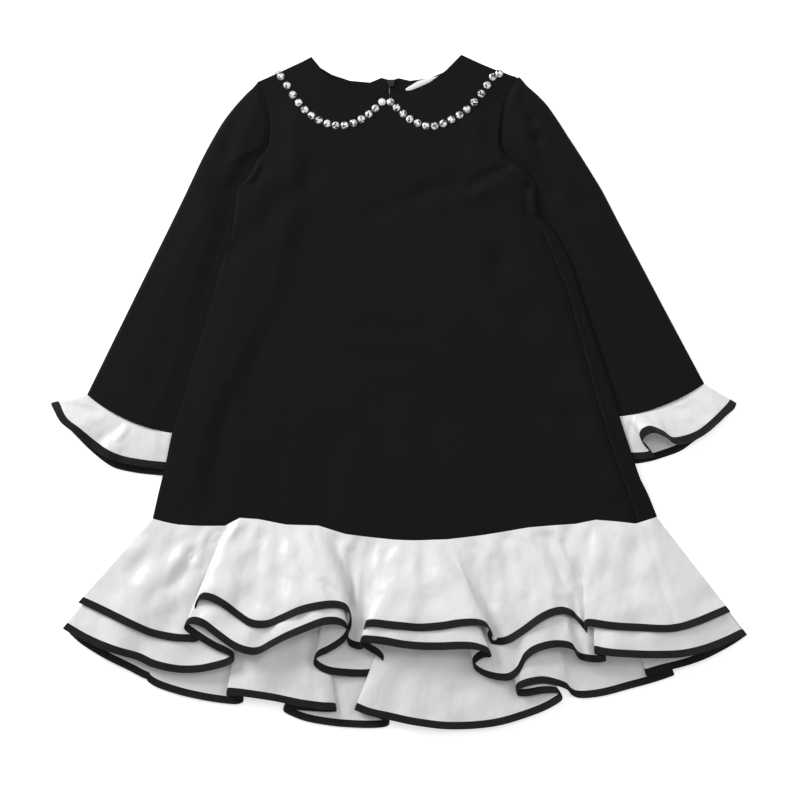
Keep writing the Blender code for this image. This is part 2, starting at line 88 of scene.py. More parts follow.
def soft_light(name, location, size, power):
    """A square soft light that looks at the middle of the dress."""
    data = bpy.data.lights.new(name, "AREA")
    data.size = size
    data.energy = power
    light = bpy.data.objects.new(name, data)
    light.location = location
    light.rotation_euler = (-Vector(location)).to_track_quat("-Z", "Y").to_euler()
    bpy.context.scene.collection.objects.link(light)


for window in WINDOWS:
    soft_light(*window)
world = bpy.data.worlds.new("studio")
world.use_nodes = True
world.node_tree.nodes["Background"].inputs["Color"].default_value = (1.0, 1.0, 1.0, 1.0)
world.node_tree.nodes["Background"].inputs["Strength"].default_value = ROOM_LIGHT
bpy.context.scene.world = world
bpy.context.scene.view_settings.view_transform = "Standard"
print("lights:", ", ".join(window[0] for window in WINDOWS))

# %% [markdown]
# ## Finishes
# Each finish is a short sum of noises. A small class lets Python's own signs add the maths
# nodes, so a line of shader reads like a line of arithmetic.


# %% Shader arithmetic
class Value:
    """A number that varies over a surface."""

    def __init__(self, finish, socket):
        self.finish = finish
        self.socket = socket

    def _join(self, operation, first, second):
        node = self.finish.node("ShaderNodeMath", {"operation": operation}, {0: first, 1: second})
        return Value(self.finish, node.outputs[0])

    def __add__(self, other):
        return self._join("ADD", self, other)

    def __radd__(self, other):
        return self._join("ADD", other, self)

    def __sub__(self, other):
        return self._join("SUBTRACT", self, other)

    def __mul__(self, other):
        return self._join("MULTIPLY", self, other)

    def __rmul__(self, other):
        return self._join("MULTIPLY", other, self)


class Finish:
    """A material with one Principled shader, and one way to add any other node."""

    def __init__(self, name, **constants):
        self.material = bpy.data.materials.new(name)
        self.material.use_nodes = True
        self.tree = self.material.node_tree
        self.shader = self.tree.nodes["Principled BSDF"]
        for socket, value in constants.items():
            self.shader.inputs[socket.replace("_", " ")].default_value = value

    def node(self, kind, settings=None, inputs=None):
        """A new node with its settings, and its inputs set or linked."""
        made = self.tree.nodes.new(kind)
        for setting, value in (settings or {}).items():
            setattr(made, setting, value)
        for socket, value in (inputs or {}).items():
            if isinstance(value, Value):
                self.tree.links.new(value.socket, made.inputs[socket])
            elif hasattr(value, "is_output"):
                self.tree.links.new(value, made.inputs[socket])
            else:
                made.inputs[socket].default_value = value
        return made

    def noise(self, scale, detail=2.0, stretch=(1.0, 1.0, 1.0)):
        """A noise in object space; scale is in features for each metre."""
        where = self.node("ShaderNodeTexCoord").outputs["Object"]
        turned = self.node("ShaderNodeMapping", None, {"Vector": where, "Scale": stretch})
        made = self.node("ShaderNodeTexNoise", None,
                         {"Vector": turned.outputs[0], "Scale": scale, "Detail": detail})
        return Value(self, made.outputs[0])

    def threads(self, scale, direction):
        """Fine parallel threads that follow the cloth's own grain, from its UV map."""
        where = self.node("ShaderNodeTexCoord").outputs["UV"]
        settings = {"wave_type": "BANDS", "bands_direction": direction}
        made = self.node("ShaderNodeTexWave", settings,
                         {"Vector": where, "Scale": scale, "Distortion": 1.2, "Detail": 1.0})
        return Value(self, made.outputs["Fac"])

    def colour(self, factor, low, high):
        """A colour between two, by a value that varies."""
        mix = self.node("ShaderNodeMix", {"data_type": "RGBA"},
                        {"Factor": factor, 6: (*low, 1.0), 7: (*high, 1.0)})
        self.tree.links.new(mix.outputs[2], self.shader.inputs["Base Color"])

    def roughness(self, value):
        self.tree.links.new(value.socket, self.shader.inputs["Roughness"])

    def bump(self, height, distance):
        """A fine relief, as high in metres as the distance says."""
        made = self.node("ShaderNodeBump", None,
                         {"Height": height, "Distance": distance, "Strength": 1.0})
        self.tree.links.new(made.outputs[0], self.shader.inputs["Normal"])


# %% Cloth finishes
def ponte_finish():
    """Firm black double knit: matt, with a pebbled grain and a little lint."""
    finish = Finish("ponte", Sheen_Weight=0.04, Sheen_Roughness=0.5, Specular_IOR_Level=0.1)
    grain = finish.noise(1500.0, 3.0)
    cloud = finish.noise(9.0, 4.0)
    finish.colour(grain * 0.6 + cloud * 0.4, (0.0040, 0.0040, 0.0046), (0.0090, 0.0090, 0.0100))
    finish.roughness(0.78 + 0.15 * grain)
    finish.bump(grain + 0.5 * finish.noise(600.0, 2.0), 0.00022)
    return finish.material


def satin_finish():
    """White satin: smooth floats along the grain, a soft gloss and small handling ripples."""
    finish = Finish("satin", Sheen_Weight=0.05, Specular_IOR_Level=0.55)
    threads = finish.threads(900.0, "X")
    ripple = finish.noise(26.0, 3.0, (1.0, 0.6, 1.0))
    finish.colour(finish.noise(6.0, 2.0), (0.72, 0.73, 0.73), (0.79, 0.79, 0.785))
    finish.roughness(0.26 + 0.12 * ripple + 0.05 * threads)
    finish.bump(ripple + 0.003 * threads, 0.0050)
    return finish.material


def binding_finish():
    """Black satin tape, folded over the hem: a slight gloss and small puckers."""
    finish = Finish("binding", Specular_IOR_Level=0.25)
    pucker = finish.noise(260.0, 3.0)
    finish.colour(pucker, (0.006, 0.0072, 0.0070), (0.0125, 0.0150, 0.0145))
    finish.roughness(0.42 + 0.2 * pucker)
    finish.bump(pucker + 0.2 * finish.threads(1400.0, "Y"), 0.0007)
    return finish.material


def stone_finish():
    """Cut glass: bright and dark flecks painted into the colour by small cells stand in for the
    room's reflections in the facets.
    """
    finish = Finish("stone_cut", Metallic=0.25, Coat_Weight=0.3, Specular_IOR_Level=0.6)
    where = finish.node("ShaderNodeTexCoord").outputs["Object"]
    cells = finish.node("ShaderNodeTexVoronoi", None, {"Vector": where, "Scale": 560.0})
    painted_glint_cells = Value(finish, cells.outputs["Color"])
    # Painted reflection: each small cell's colour is a bright glint or a dark reflection of the room
    finish.colour(painted_glint_cells * 3.2 - 0.95, (0.03, 0.035, 0.04), (0.95, 0.97, 0.98))
    finish.roughness(0.16 + 0.1 * painted_glint_cells)
    return finish.material


def plain_finish(name, low, high, rough, grain_scale, depth, **constants):
    """A small piece's finish with a fine grain."""
    finish = Finish(name, **constants)
    grain = finish.noise(grain_scale, 2.0)
    finish.colour(grain, low, high)
    finish.roughness(rough + 0.08 * grain)
    finish.bump(grain, depth)
    return finish.material


ponte = ponte_finish()
satin = satin_finish()
binding = binding_finish()
label_cloth = plain_finish("label_cloth", (0.80, 0.80, 0.81), (0.88, 0.88, 0.88), 0.5, 900.0, 0.0002)
zip_black = plain_finish("zip_black", (0.006, 0.006, 0.007), (0.014, 0.014, 0.015), 0.35, 700.0,
                         0.0001, Specular_IOR_Level=0.3)
thread = plain_finish("thread", (0.004, 0.004, 0.005), (0.010, 0.010, 0.011), 0.7, 2500.0, 0.0001,
                      Specular_IOR_Level=0.1)
# The stones' finish has painted reflection: bright and dark flecks in its colour
stone_cut = stone_finish()
stone_cup = plain_finish("stone_cup", (0.10, 0.10, 0.11), (0.30, 0.30, 0.31), 0.3, 900.0, 0.00005,
                         Metallic=0.8)
paper = plain_finish("paper", (0.93, 0.93, 0.93), (0.96, 0.96, 0.96), 0.8, 200.0, 0.0001,
                     Emission_Color=(1.0, 1.0, 1.0, 1.0), Emission_Strength=0.45)
print("finishes:", len(bpy.data.materials))

# %% [markdown]
# ## Reading and refining tables
# Every shape below starts as a short table. These functions draw it finer, with smooth
# curves or with straight lines, and read it between its rows.


# %% Tables
def curve(a, b, c, d, t):
    """A smooth value between b and c, guided by their neighbours."""
    return b + 0.5 * t * (c - a + t * (2 * a - 5 * b + 4 * c - d + t * (3 * (b - c) + d - a)))


def finer(rows, steps, ring=False):
    """A table with extra rows drawn smoothly between its own."""
    count = len(rows)
    result = []
    for i in range(count if ring else count - 1):
        if ring:
            four = [rows[(i + k) % count] for k in (-1, 0, 1, 2)]
        else:
            four = [rows[min(max(i + k, 0), count - 1)] for k in (-1, 0, 1, 2)]
        for step in range(steps):
            t = step / steps
            result.append(tuple(curve(*values, t) for values in zip(*four)))
    return result if ring else result + [tuple(rows[-1])]


def straight(rows, steps):
    """A table with extra rows on straight lines between its own, which keeps its corners."""
    result = []
    for low, high in zip(rows, rows[1:]):
        for step in range(steps):
            t = step / steps
            result.append(tuple(a + t * (b - a) for a, b in zip(low, high)))
    return result + [tuple(rows[-1])]


def ease(value):
    """0 below 0, 1 above 1, and an easy slope between."""
    value = min(max(value, 0.0), 1.0)
    return value * value * (3.0 - 2.0 * value)


def read(table, key, column):
    """Read a column of a table at a value of its first column."""
    if key <= table[0][0]:
        return table[0][column]
    for low, high in zip(table, table[1:]):
        if key <= high[0]:
            share = (key - low[0]) / (high[0] - low[0])
            return low[column] + share * (high[column] - low[column])
    return table[-1][column]


# %% [markdown]
# ## Cloth
# A cut piece is a grid of points: lines run down the cloth and rows run across it. The same
# grid gives the wall its two skins, its edges and its UV map, which the satin's threads follow.


# %% What a grid says
def facing(grid, ring):
    """The way that each point of a grid faces."""
    count = len(grid)
    depth = len(grid[0])
    normals = []
    for i in range(count):
        before = grid[(i - 1) % count] if ring else grid[max(i - 1, 0)]
        after = grid[(i + 1) % count] if ring else grid[min(i + 1, count - 1)]
        line = []
        for j in range(depth):
            down = grid[i][min(j + 1, depth - 1)] - grid[i][max(j - 1, 0)]
            line.append(down.cross(after[j] - before[j]).normalized())
        normals.append(line)
    return normals


def cut_size(grid, ring=False):
    """Width, length and area of the cut that a grid of cloth came from."""
    lines = grid + [grid[0]] if ring else grid
    rows = range(len(grid[0]))
    width = max(sum((b[j] - a[j]).length for a, b in zip(lines, lines[1:])) for j in rows)
    length = max(sum((q - p).length for p, q in zip(line, line[1:])) for line in grid)
    area = 0.0
    for a, b in zip(lines, lines[1:]):
        for j in range(len(a) - 1):
            area += 0.5 * (b[j + 1] - a[j]).cross(b[j] - a[j + 1]).length
    return width, length, area


# %% A wall of cloth
# Edges of cloth that turn by more degrees than this are shaded sharp
CLOTH_SHARP = 50


def cloth(name, grid, thickness, material, ring=False, normals=None, bead=0.0):
    """A wall of even thickness on a grid; a bead thickens it towards the middle of its rows."""
    normals = normals or facing(grid, ring)
    count = len(grid)
    depth = len(grid[0])
    mesh = bmesh.new()
    sheet_map = mesh.loops.layers.uv.new("cloth")
    skins = []
    for side in (1.0, -1.0):
        skin = []
        for line, turned in zip(grid, normals):
            points = []
            for j, (point, normal) in enumerate(zip(line, turned)):
                half = 0.5 * thickness + bead * math.sin(math.pi * j / (depth - 1))
                points.append(mesh.verts.new(point + normal * side * half * MM))
            skin.append(points)
        skins.append(skin)
    upper, lower = skins
    spots = {}
    along = 0.0
    for i in range(count):
        if i:
            along += (grid[i][depth // 2] - grid[i - 1][depth // 2]).length
        down = 0.0
        for j in range(depth):
            if j:
                down += (grid[i][j] - grid[i][j - 1]).length
            spots[upper[i][j]] = (along, down)
            spots[lower[i][j]] = (along, down)
    for i in range(count if ring else count - 1):
        k = (i + 1) % count
        for j in range(depth - 1):
            mesh.faces.new((upper[i][j], upper[i][j + 1], upper[k][j + 1], upper[k][j]))
            mesh.faces.new((lower[i][j], lower[k][j], lower[k][j + 1], lower[i][j + 1]))
        for j in (0, depth - 1):
            mesh.faces.new((upper[i][j], upper[k][j], lower[k][j], lower[i][j]))
    if not ring:
        for i in (0, count - 1):
            for j in range(depth - 1):
                mesh.faces.new((upper[i][j], upper[i][j + 1], lower[i][j + 1], lower[i][j]))
    for face in mesh.faces:
        for loop in face.loops:
            loop[sheet_map].uv = spots[loop.vert]
    bmesh.ops.recalc_face_normals(mesh, faces=mesh.faces)
    return as_piece(name, mesh, material, CLOTH_SHARP)


def as_piece(name, mesh, material, sharp):
    """Turn a bmesh into a named piece, smooth but for its sharp edges."""
    data = bpy.data.meshes.new(name)
    mesh.to_mesh(data)
    mesh.free()
    data.shade_smooth()
    data.set_sharp_from_angle(angle=math.radians(sharp))
    data.materials.append(material)
    piece = bpy.data.objects.new(name, data)
    bpy.context.scene.collection.objects.link(piece)
    return piece


def sew_on(piece, nodes, sheet=None):
    """Tie a piece to the frame, and state its cut where it is a sheet of cloth."""
    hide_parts(*nodes)
    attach(piece, "root")
    if sheet:
        width, length, area = sheet
        print("%s: cut %.0f x %.0f mm" % (piece.name, width / MM, length / MM))


# %% [markdown]
# ## The body
# The front is one A-line panel and the back is two, either side of the zip. The sleeves lie
# under its sides, so the sides are raised. Soft troughs and a few ridges, listed in a table, give
# the cloth its resting creases.

# %% The body's tables
# One row for each level of the body: y, left edge x, right edge x
BODY_LEVELS = [
    (81, 257, 516.6), (97, 265, 507), (114, 269.8, 502), (134, 269.8, 499.2), (148, 267, 500),
    (160, 257, 505.5), (172, 251.6, 522.8), (190, 237.2, 535.2), (216, 234.2, 538),
    (240, 230, 556.4), (270, 219.5, 571), (310, 208.8, 584), (350, 196.3, 597.5), (400, 182.5, 614),
    (433, 172, 624.5), (463, 165.7, 634.5), (480, 161.5, 640.5), (496, 157.6, 648.5),
    (518, 152.4, 657.5),
]
# One row for each line down the body: top x, front top y, back top y, hem x, front hem y,
# back hem y
BODY_LINES = [
    (257, 81.6, 81.6, 152.4, 518.6, 518.6), (264.5, 78.4, 78.4, 165, 522, 528),
    (271.5, 75.4, 75.4, 178, 524.5, 537), (281, 71.2, 71.2, 193, 525.5, 546),
    (291, 66.5, 66.5, 209, 525.8, 553), (302, 61.5, 61.5, 225, 525.5, 559),
    (311.5, 56.5, 56.5, 240, 517.8, 563), (320, 70, 67, 258, 519, 568),
    (332, 80, 74, 286, 524.5, 575), (350, 88, 80, 318, 525.5, 581),
    (370, 92.5, 81.8, 346, 534, 586), (381.5, 93.6, 77, 370, 537, 588),
    (391, 94, 80, 391, 539.3, 590), (398.5, 93.2, 77.4, 402, 540, 590),
    (410, 91, 80, 415, 540.3, 590), (430, 82, 77.5, 447, 539.3, 587),
    (446, 70, 70.5, 484, 534.8, 581), (461.4, 54.4, 54.4, 530, 527.2, 570),
    (473, 59.8, 59.8, 556, 525, 562), (484, 64.7, 64.7, 576, 523.7, 555),
    (495, 69.2, 69.2, 596, 519.6, 547), (503.5, 71.9, 71.9, 615, 521.2, 538),
    (510.5, 74.7, 74.7, 636, 523.5, 528), (516.6, 76.4, 76.4, 657.5, 516.7, 516.7),
]
CENTRE_LINE = 12
# How far the sleeves reach in under the body: y, left x, right x
SLEEVE_REACH = [
    (100, 276, 494), (200, 275, 500), (230, 268, 512), (265, 262, 524), (310, 246, 546),
    (372, 214, 580), (437, 182, 613), (500, 172, 630),
]
# Creases of the front: x and y at one end, x and y at the other, half width, depth; a crease
# of negative depth is a ridge
CREASES = [
    (310, 175, 235, 250, 11, 1.9), (372, 215, 425, 192, 9, 1.1), (425, 192, 500, 172, 9, 1.4),
    (488, 205, 503, 262, 12, 2.2), (503, 262, 528, 315, 13, 2.3), (528, 315, 558, 368, 13, 2.1),
    (558, 368, 578, 420, 12, 1.8), (578, 420, 600, 470, 12, 1.5), (600, 470, 618, 498, 10, 1),
    (300, 358, 400, 359, 8, 0.7), (368, 322, 404, 334, 7, 0.7), (228, 395, 214, 500, 10, 1.3),
    (282, 108, 280, 168, 9, 0.9), (486, 112, 484, 165, 9, 0.9), (330, 440, 322, 520, 14, 0.9),
    (430, 430, 446, 530, 15, 0.9), (262, 300, 248, 420, 13, 1), (395, 140, 398, 300, 22, -0.6),
    (500, 420, 520, 520, 14, 0.9), (270, 200, 262, 280, 12, 0.8), (514, 171, 527, 180, 4, -2.6),
    (534, 194, 535, 212, 4, -2.8), (257, 166, 250, 178, 4, -2.2), (473, 185, 498, 171, 5, 2.2),
]
# The side seam, rolled to the front on the right: x, y
ROLLED_SEAM = [(545, 238), (552.2, 254.8), (565.8, 286.6), (572.6, 309.3), (581.6, 343.3),
               (590.7, 377.3), (598.6, 404.5), (606.6, 431.7), (615.6, 458.9), (624.7, 483.9),
               (631.5, 502), (637, 521)]
SEAM_BY_LEVEL = [(y, x) for x, y in ROLLED_SEAM]
ROLLED_FROM = (530, 236)
RIDGE_AWAY = 3.0
RIDGE_HALF = 2.4
RIDGE_HIGH = 1.1
GROOVE_HALF = 1.1
GROOVE_DEEP = 2.2
ZIP_X = 391.0
ZIP_END = 310.0
# Half the gap between the two backs, beside the zip and below it
ZIP_GAP = 1.85
SEAM_GAP = 0.2
# The turned edge beside the zip: distance from its middle, half width, height
TURNED_EDGE = (5.5, 1.7, 0.96)
# It sinks into the back over this length, and ends at this level
TURNED_FADE = 15
TURNED_END = 100
# The sleeve beneath lifts the body's side by this much. The lift starts a little nearer the
# middle than the sleeve's reach, and grows over the slope.
SIDE_LIFT = 3.25
LIFT_BEYOND = 38.0
LIFT_SLOPE = 24.0
# It fades at the shoulder and at the hem: level, length of the slope
SHOULDER_FADE = (95.0, 35.0)
HEM_FADE = (520.0, 45.0)
BODY_GAP = 0.6
# The front's rise from its side edge: height gained, and over what distance
BODY_PUFF = (1.4, 60.0)
SIDE_ROLL = (1.4, 25.0)
EDGE_DROP = (1.0, 2.5)
CREASE_FADE = 4.0
CREASE_REACH = 40
# A crease has a low rim on either side: share of its depth, and how many half widths away
RIM = (0.35, 2.0)


# %% The body's heights
def edge_distance(x, y, x0, y0, x1, y1):
    """Distance from a place to a straight stretch."""
    length = math.hypot(x1 - x0, y1 - y0)
    share = ((x - x0) * (x1 - x0) + (y - y0) * (y1 - y0)) / length ** 2
    share = min(max(share, 0.0), 1.0)
    return math.hypot(x - x0 - share * (x1 - x0), y - y0 - share * (y1 - y0))


def creased(x, y, table):
    """Height that soft creases take away at a place."""
    total = 0.0
    for x0, y0, x1, y1, width, depth in table:
        beside = max(min(x0, x1) - x, x - max(x0, x1), min(y0, y1) - y, y - max(y0, y1))
        if beside < CREASE_REACH:
            near = edge_distance(x, y, x0, y0, x1, y1) / width
            total += depth * (math.exp(-near * near) - RIM[0] * math.exp(-(near - RIM[1]) ** 2))
    return total


def side_lift(x, y):
    """How far the body is raised by the sleeve that lies under its side."""
    left = read(SLEEVE_REACH, y, 1) + LIFT_BEYOND
    right = read(SLEEVE_REACH, y, 2) - LIFT_BEYOND
    over = max(ease((left - x) / LIFT_SLOPE), ease((x - right) / LIFT_SLOPE))
    below_shoulder = ease((y - SHOULDER_FADE[0]) / SHOULDER_FADE[1])
    return SIDE_LIFT * over * below_shoulder * ease((HEM_FADE[0] - y) / HEM_FADE[1])


def front_height(x, y):
    """Middle of the front wall above the board."""
    inside = min(x - read(BODY_LEVELS, y, 1), read(BODY_LEVELS, y, 2) - x)
    height = side_lift(x, y) + 1.5 * PONTE + BODY_GAP
    height += BODY_PUFF[0] * ease(inside / BODY_PUFF[1])
    height += SIDE_ROLL[0] * ease(inside / SIDE_ROLL[1])
    height -= creased(x, y, CREASES) * ease(inside / CREASE_FADE)
    height += rolled(x, y)
    return height - EDGE_DROP[0] * (1.0 - ease(inside / EDGE_DROP[1]))


def rolled(x, y):
    """The ridge and the stitched groove of the side seam where it has rolled to the front."""
    if x < ROLLED_FROM[0] or y < ROLLED_FROM[1]:
        return 0.0
    near = min(edge_distance(x, y, *a, *b) for a, b in zip(ROLLED_SEAM, ROLLED_SEAM[1:]))
    side = 1.0 if x > read(SEAM_BY_LEVEL, y, 1) else -1.0
    ridge = math.exp(-((near - RIDGE_AWAY) / RIDGE_HALF) ** 2)
    return RIDGE_HIGH * ridge * side - GROOVE_DEEP * math.exp(-(near / GROOVE_HALF) ** 2)


def body_point(line, level, top_column, hem_column):
    """A board place on the body, where a line down it crosses a level."""
    first = BODY_LINES[0]
    last = BODY_LINES[-1]
    down = (level[0] - BODY_LEVELS[0][0]) / (BODY_LEVELS[-1][0] - BODY_LEVELS[0][0])
    across = (1 - down) * (line[0] - first[0]) / (last[0] - first[0])
    across += down * (line[3] - first[3]) / (last[3] - first[3])
    x = level[1] + across * (level[2] - level[1])
    x += (1 - down) * (line[0] - first[0] - across * (last[0] - first[0]))
    y = level[0] + (1 - down) * (line[top_column] - BODY_LEVELS[0][0])
    y += down * (line[hem_column] - BODY_LEVELS[-1][0])
    return x, y


# %% The front and the back
LINE_STEPS = 7
LEVELS = finer(BODY_LEVELS, 8)
LINES = straight(BODY_LINES, LINE_STEPS)
# The front has closer lines from here to its right edge, for the rolled seam's narrow groove
CLOSE_FROM = 17
FRONT_LINES = straight(BODY_LINES[:CLOSE_FROM + 1], LINE_STEPS)[:-1]
FRONT_LINES += straight(BODY_LINES[CLOSE_FROM:], 22)


def make_front():
    """The front panel, from the shoulders to the flounce seam."""
    grid = []
    for line in FRONT_LINES:
        places = [body_point(line, level, 1, 4) for level in LEVELS]
        grid.append([place(x, y, front_height(x, y)) for x, y in places])
    piece = cloth("front", grid, PONTE, ponte)
    sew_on(piece, ["front_panel"], cut_size(grid))


def make_back(name, node, lines, side):
    """Half of the back, with its straight edge along the zip and the centre seam."""
    away, half, high = TURNED_EDGE
    grid = []
    for line in lines:
        run = []
        for level in LEVELS:
            x, y = body_point(line, level, 2, 5)
            if line is lines[0 if side > 0 else -1]:
                x = ZIP_X + side * (ZIP_GAP if y < ZIP_END else SEAM_GAP)
            bump = high * math.exp(-((x - ZIP_X - side * away) / half) ** 2)
            bump *= ease((TURNED_END - y) / TURNED_FADE)
            run.append(place(x, y, side_lift(x, y) + 0.5 * PONTE + bump))
        grid.append(run)
    piece = cloth(name, grid, PONTE, ponte)
    sew_on(piece, [node], cut_size(grid))


centre = CENTRE_LINE * LINE_STEPS
make_back("back_left", "back_panel_left", LINES[:centre + 1], -1)
make_back("back_right", "back_panel_right", LINES[centre:], 1)
make_front()

# %% [markdown]
# ## The sleeves
# A set-in sleeve is a tube that lies flat. Each row of the table is a section across it, from
# the outer fold to the inner one. It is flat where the body lies on it and fuller outside.

# %% The sleeves' tables
# One row for each section: outer x, outer y, inner x, inner y, bow towards the cuff
LEFT_SLEEVE = [
    (257.6, 82.2, 263, 84, 0), (252.5, 88, 266, 92.5, 0), (247.5, 92.5, 268.2, 100.5, 0),
    (241.7, 98.6, 271, 110, 0), (233, 108.5, 271.8, 122, 0), (222.5, 122.5, 271.4, 136, 0),
    (211, 142, 267.8, 149.5, 0), (202, 159, 262, 163, 0), (192.5, 179, 264, 190, 0),
    (182.8, 199.6, 266, 222, 0), (166, 234, 260, 264, 0), (143, 280.5, 243, 310, 1),
    (115, 337.5, 212, 372, 3), (86.9, 394.8, 178, 434, 7.5),
]
RIGHT_SLEEVE = [
    (519.6, 77, 512.5, 77.8, 0), (522.4, 80, 509.5, 83.5, 0), (527, 85.5, 506.5, 90.5, 0),
    (532.5, 90.3, 503.4, 98, 0), (538.5, 95.8, 500.6, 106, 0), (547, 104.9, 499.4, 118, 0),
    (557, 119, 497.8, 132, 0), (566, 133, 498.4, 146, 0), (579.2, 153.3, 503, 161, 0),
    (590, 170.5, 506, 187, 0), (603, 192, 510, 217, 0), (618, 221, 519, 253, 0),
    (640, 262.5, 542, 299, 0), (668, 315.5, 574, 358, 1), (704.5, 383.9, 612, 417.5, 6.5),
]
# Creases of the sleeves, as in the body's table
SLEEVE_CREASES = [
    (522, 98, 532, 120, 5, 1.3), (532, 120, 538, 140, 5, 1.5), (538, 140, 551, 192, 7, 1.7),
    (551, 192, 562, 225, 8, 1.3), (238, 112, 226, 150, 7, 1.2), (226, 150, 214, 200, 8, 1.1),
    (190, 205, 160, 262, 8, 0.9), (150, 285, 122, 345, 8, 1), (176, 330, 150, 392, 9, 0.9),
    (604, 240, 636, 300, 9, 1), (640, 320, 672, 376, 8, 0.9), (596, 300, 622, 352, 9, 0.9),
    (120, 372, 168, 398, 7, 0.7), (640, 372, 690, 350, 7, 0.6),
]
SLEEVE_WALL = 1.0
SLEEVE_FLAT = 2.9
SLEEVE_PUFF = 4.2
# A crease may press the sleeve this far below its flat height
PRESSED = 0.3
# The flat strip of a sleeve ends this far outside the body's edge, and the sleeve then rises
# over this distance: at the shoulder, and below the armpit
STRIP_END = (-2.0, 5.0)
STRIP_SLOPE = (9.0, 22.0)
# The one turns into the other from this level on, over this length
ARMPIT = (140.0, 25.0)
# How far from its folds a sleeve is full, and how far from them its two layers are parted
FOLD_SWELL = 26.0
FOLD_OPENS = 2.2
# From this share of its length on, a sleeve flattens by this share towards the cuff
CUFF_FLATTENS = (0.72, 0.55)


# %% The sleeves
def section_place(section, across):
    """A board place across a sleeve section, from its outer edge to its inner edge."""
    outer_x, outer_y, inner_x, inner_y, bow = section
    along_x = inner_x - outer_x
    along_y = inner_y - outer_y
    width = math.hypot(along_x, along_y)
    push = 4.0 * bow * across * (1.0 - across)
    turn = 1.0 if along_x > 0 else -1.0
    return (outer_x + across * along_x - turn * push * along_y / width,
            outer_y + across * along_y + turn * push * along_x / width)


def sleeve_top(side, x, y, clear_of_fold, near_cuff):
    """Top of the sleeve above the board: flat under the body, round and creased outside it."""
    edge = read(BODY_LEVELS, y, 1 if side < 0 else 2)
    below = ease((y - ARMPIT[0]) / ARMPIT[1])
    strip, slope = [low + below * (high - low) for low, high in (STRIP_END, STRIP_SLOPE)]
    shown = ease((side * (x - edge) - strip) / slope)
    swell = math.sqrt(min(clear_of_fold / FOLD_SWELL, 1.0))
    height = SLEEVE_FLAT + SLEEVE_PUFF * shown * swell * (1.0 - CUFF_FLATTENS[1] * near_cuff)
    return max(height - creased(x, y, SLEEVE_CREASES) * shown * swell, SLEEVE_FLAT - PRESSED)


def make_sleeve(name, node, side, sections):
    """A set-in sleeve, a tube that lies flat from the shoulder to the cuff seam."""
    steps = 44
    close_to_fold = [0.004, 0.012, 0.025, 0.045]
    shares = close_to_fold + [0.07 + 0.86 * i / steps for i in range(steps + 1)]
    shares += [1.0 - share for share in reversed(close_to_fold)]
    ring = [(0.0, 0)] + [(share, 1) for share in shares] + [(1.0, 0)]
    ring += [(share, -1) for share in reversed(shares)]
    rows = finer(sections, 9)
    middle = 0.5 * SLEEVE_FLAT
    cuff_from = CUFF_FLATTENS[0]
    grid = []
    for share, skin in ring:
        run = []
        for index, section in enumerate(rows):
            x, y = section_place(section, share)
            width = math.dist(section[0:2], section[2:4])
            from_fold = min(share, 1.0 - share) * width
            near_cuff = ease((index / len(rows) - cuff_from) / (1.0 - cuff_from))
            opened = math.sqrt(min(from_fold / FOLD_OPENS, 1.0))
            low = middle - 0.5 * (SLEEVE_FLAT - PONTE) * opened
            high = sleeve_top(side, x, y, from_fold, near_cuff) - 0.5 * PONTE
            high = middle + (high - middle) * opened
            run.append(place(x, y, (middle, high, low)[skin]))
        grid.append(run)
    piece = cloth(name, grid, SLEEVE_WALL, ponte, ring=True)
    sew_on(piece, [node], cut_size(grid, True))


make_sleeve("left_sleeve", "sleeve_left", -1, LEFT_SLEEVE)
make_sleeve("right_sleeve", "sleeve_right", 1, RIGHT_SLEEVE)

# %% [markdown]
# ## The cuff flounces
# A cuff flounce is a ring cut from a circle, so its seam is short and its hem is long: the
# spare length stands up in waves on top, and the layer beneath lies flat.

# %% The satin's creases and the cuffs' tables
# Creases pressed into the satin of the front tier and the cuffs, as in the body's table
SATIN_CREASES = [
    (222, 530, 191, 556, 5, 1.5), (191, 556, 172, 585, 6, 1.3), (206, 532, 196, 562, 4, -1.2),
    (160, 530, 134, 574, 6, 1.2), (178, 560, 156, 606, 6, -1.2), (262, 540, 257, 600, 7, 1.4),
    (300, 560, 322, 590, 6, 0.9), (322, 582, 346, 597, 4, 1.1), (362, 548, 357, 602, 4, -1.3),
    (350, 552, 350, 604, 4, 1.2), (420, 548, 432, 596, 7, 0.9), (492, 560, 494, 602, 4, 1.2),
    (512, 548, 522, 590, 5, -1.2), (548, 536, 564, 584, 5, 1.5), (563, 544, 581, 577, 4, 1.2),
    (646, 530, 673, 622, 3, 1.1), (612, 540, 604, 600, 7, 0.9), (688, 560, 706, 600, 7, 1),
    (124, 422, 101, 440, 4, 0.7), (128, 424, 119, 437, 3, -0.8), (153, 427, 168, 447, 3, 1.2),
    (62, 404, 96, 412, 4, 0.9), (634, 416, 627, 438, 4, 1.4), (662, 411, 686, 410, 4, 1.2),
    (690, 402, 704, 414, 5, 1), (718, 391, 729, 400, 3, 1),
]
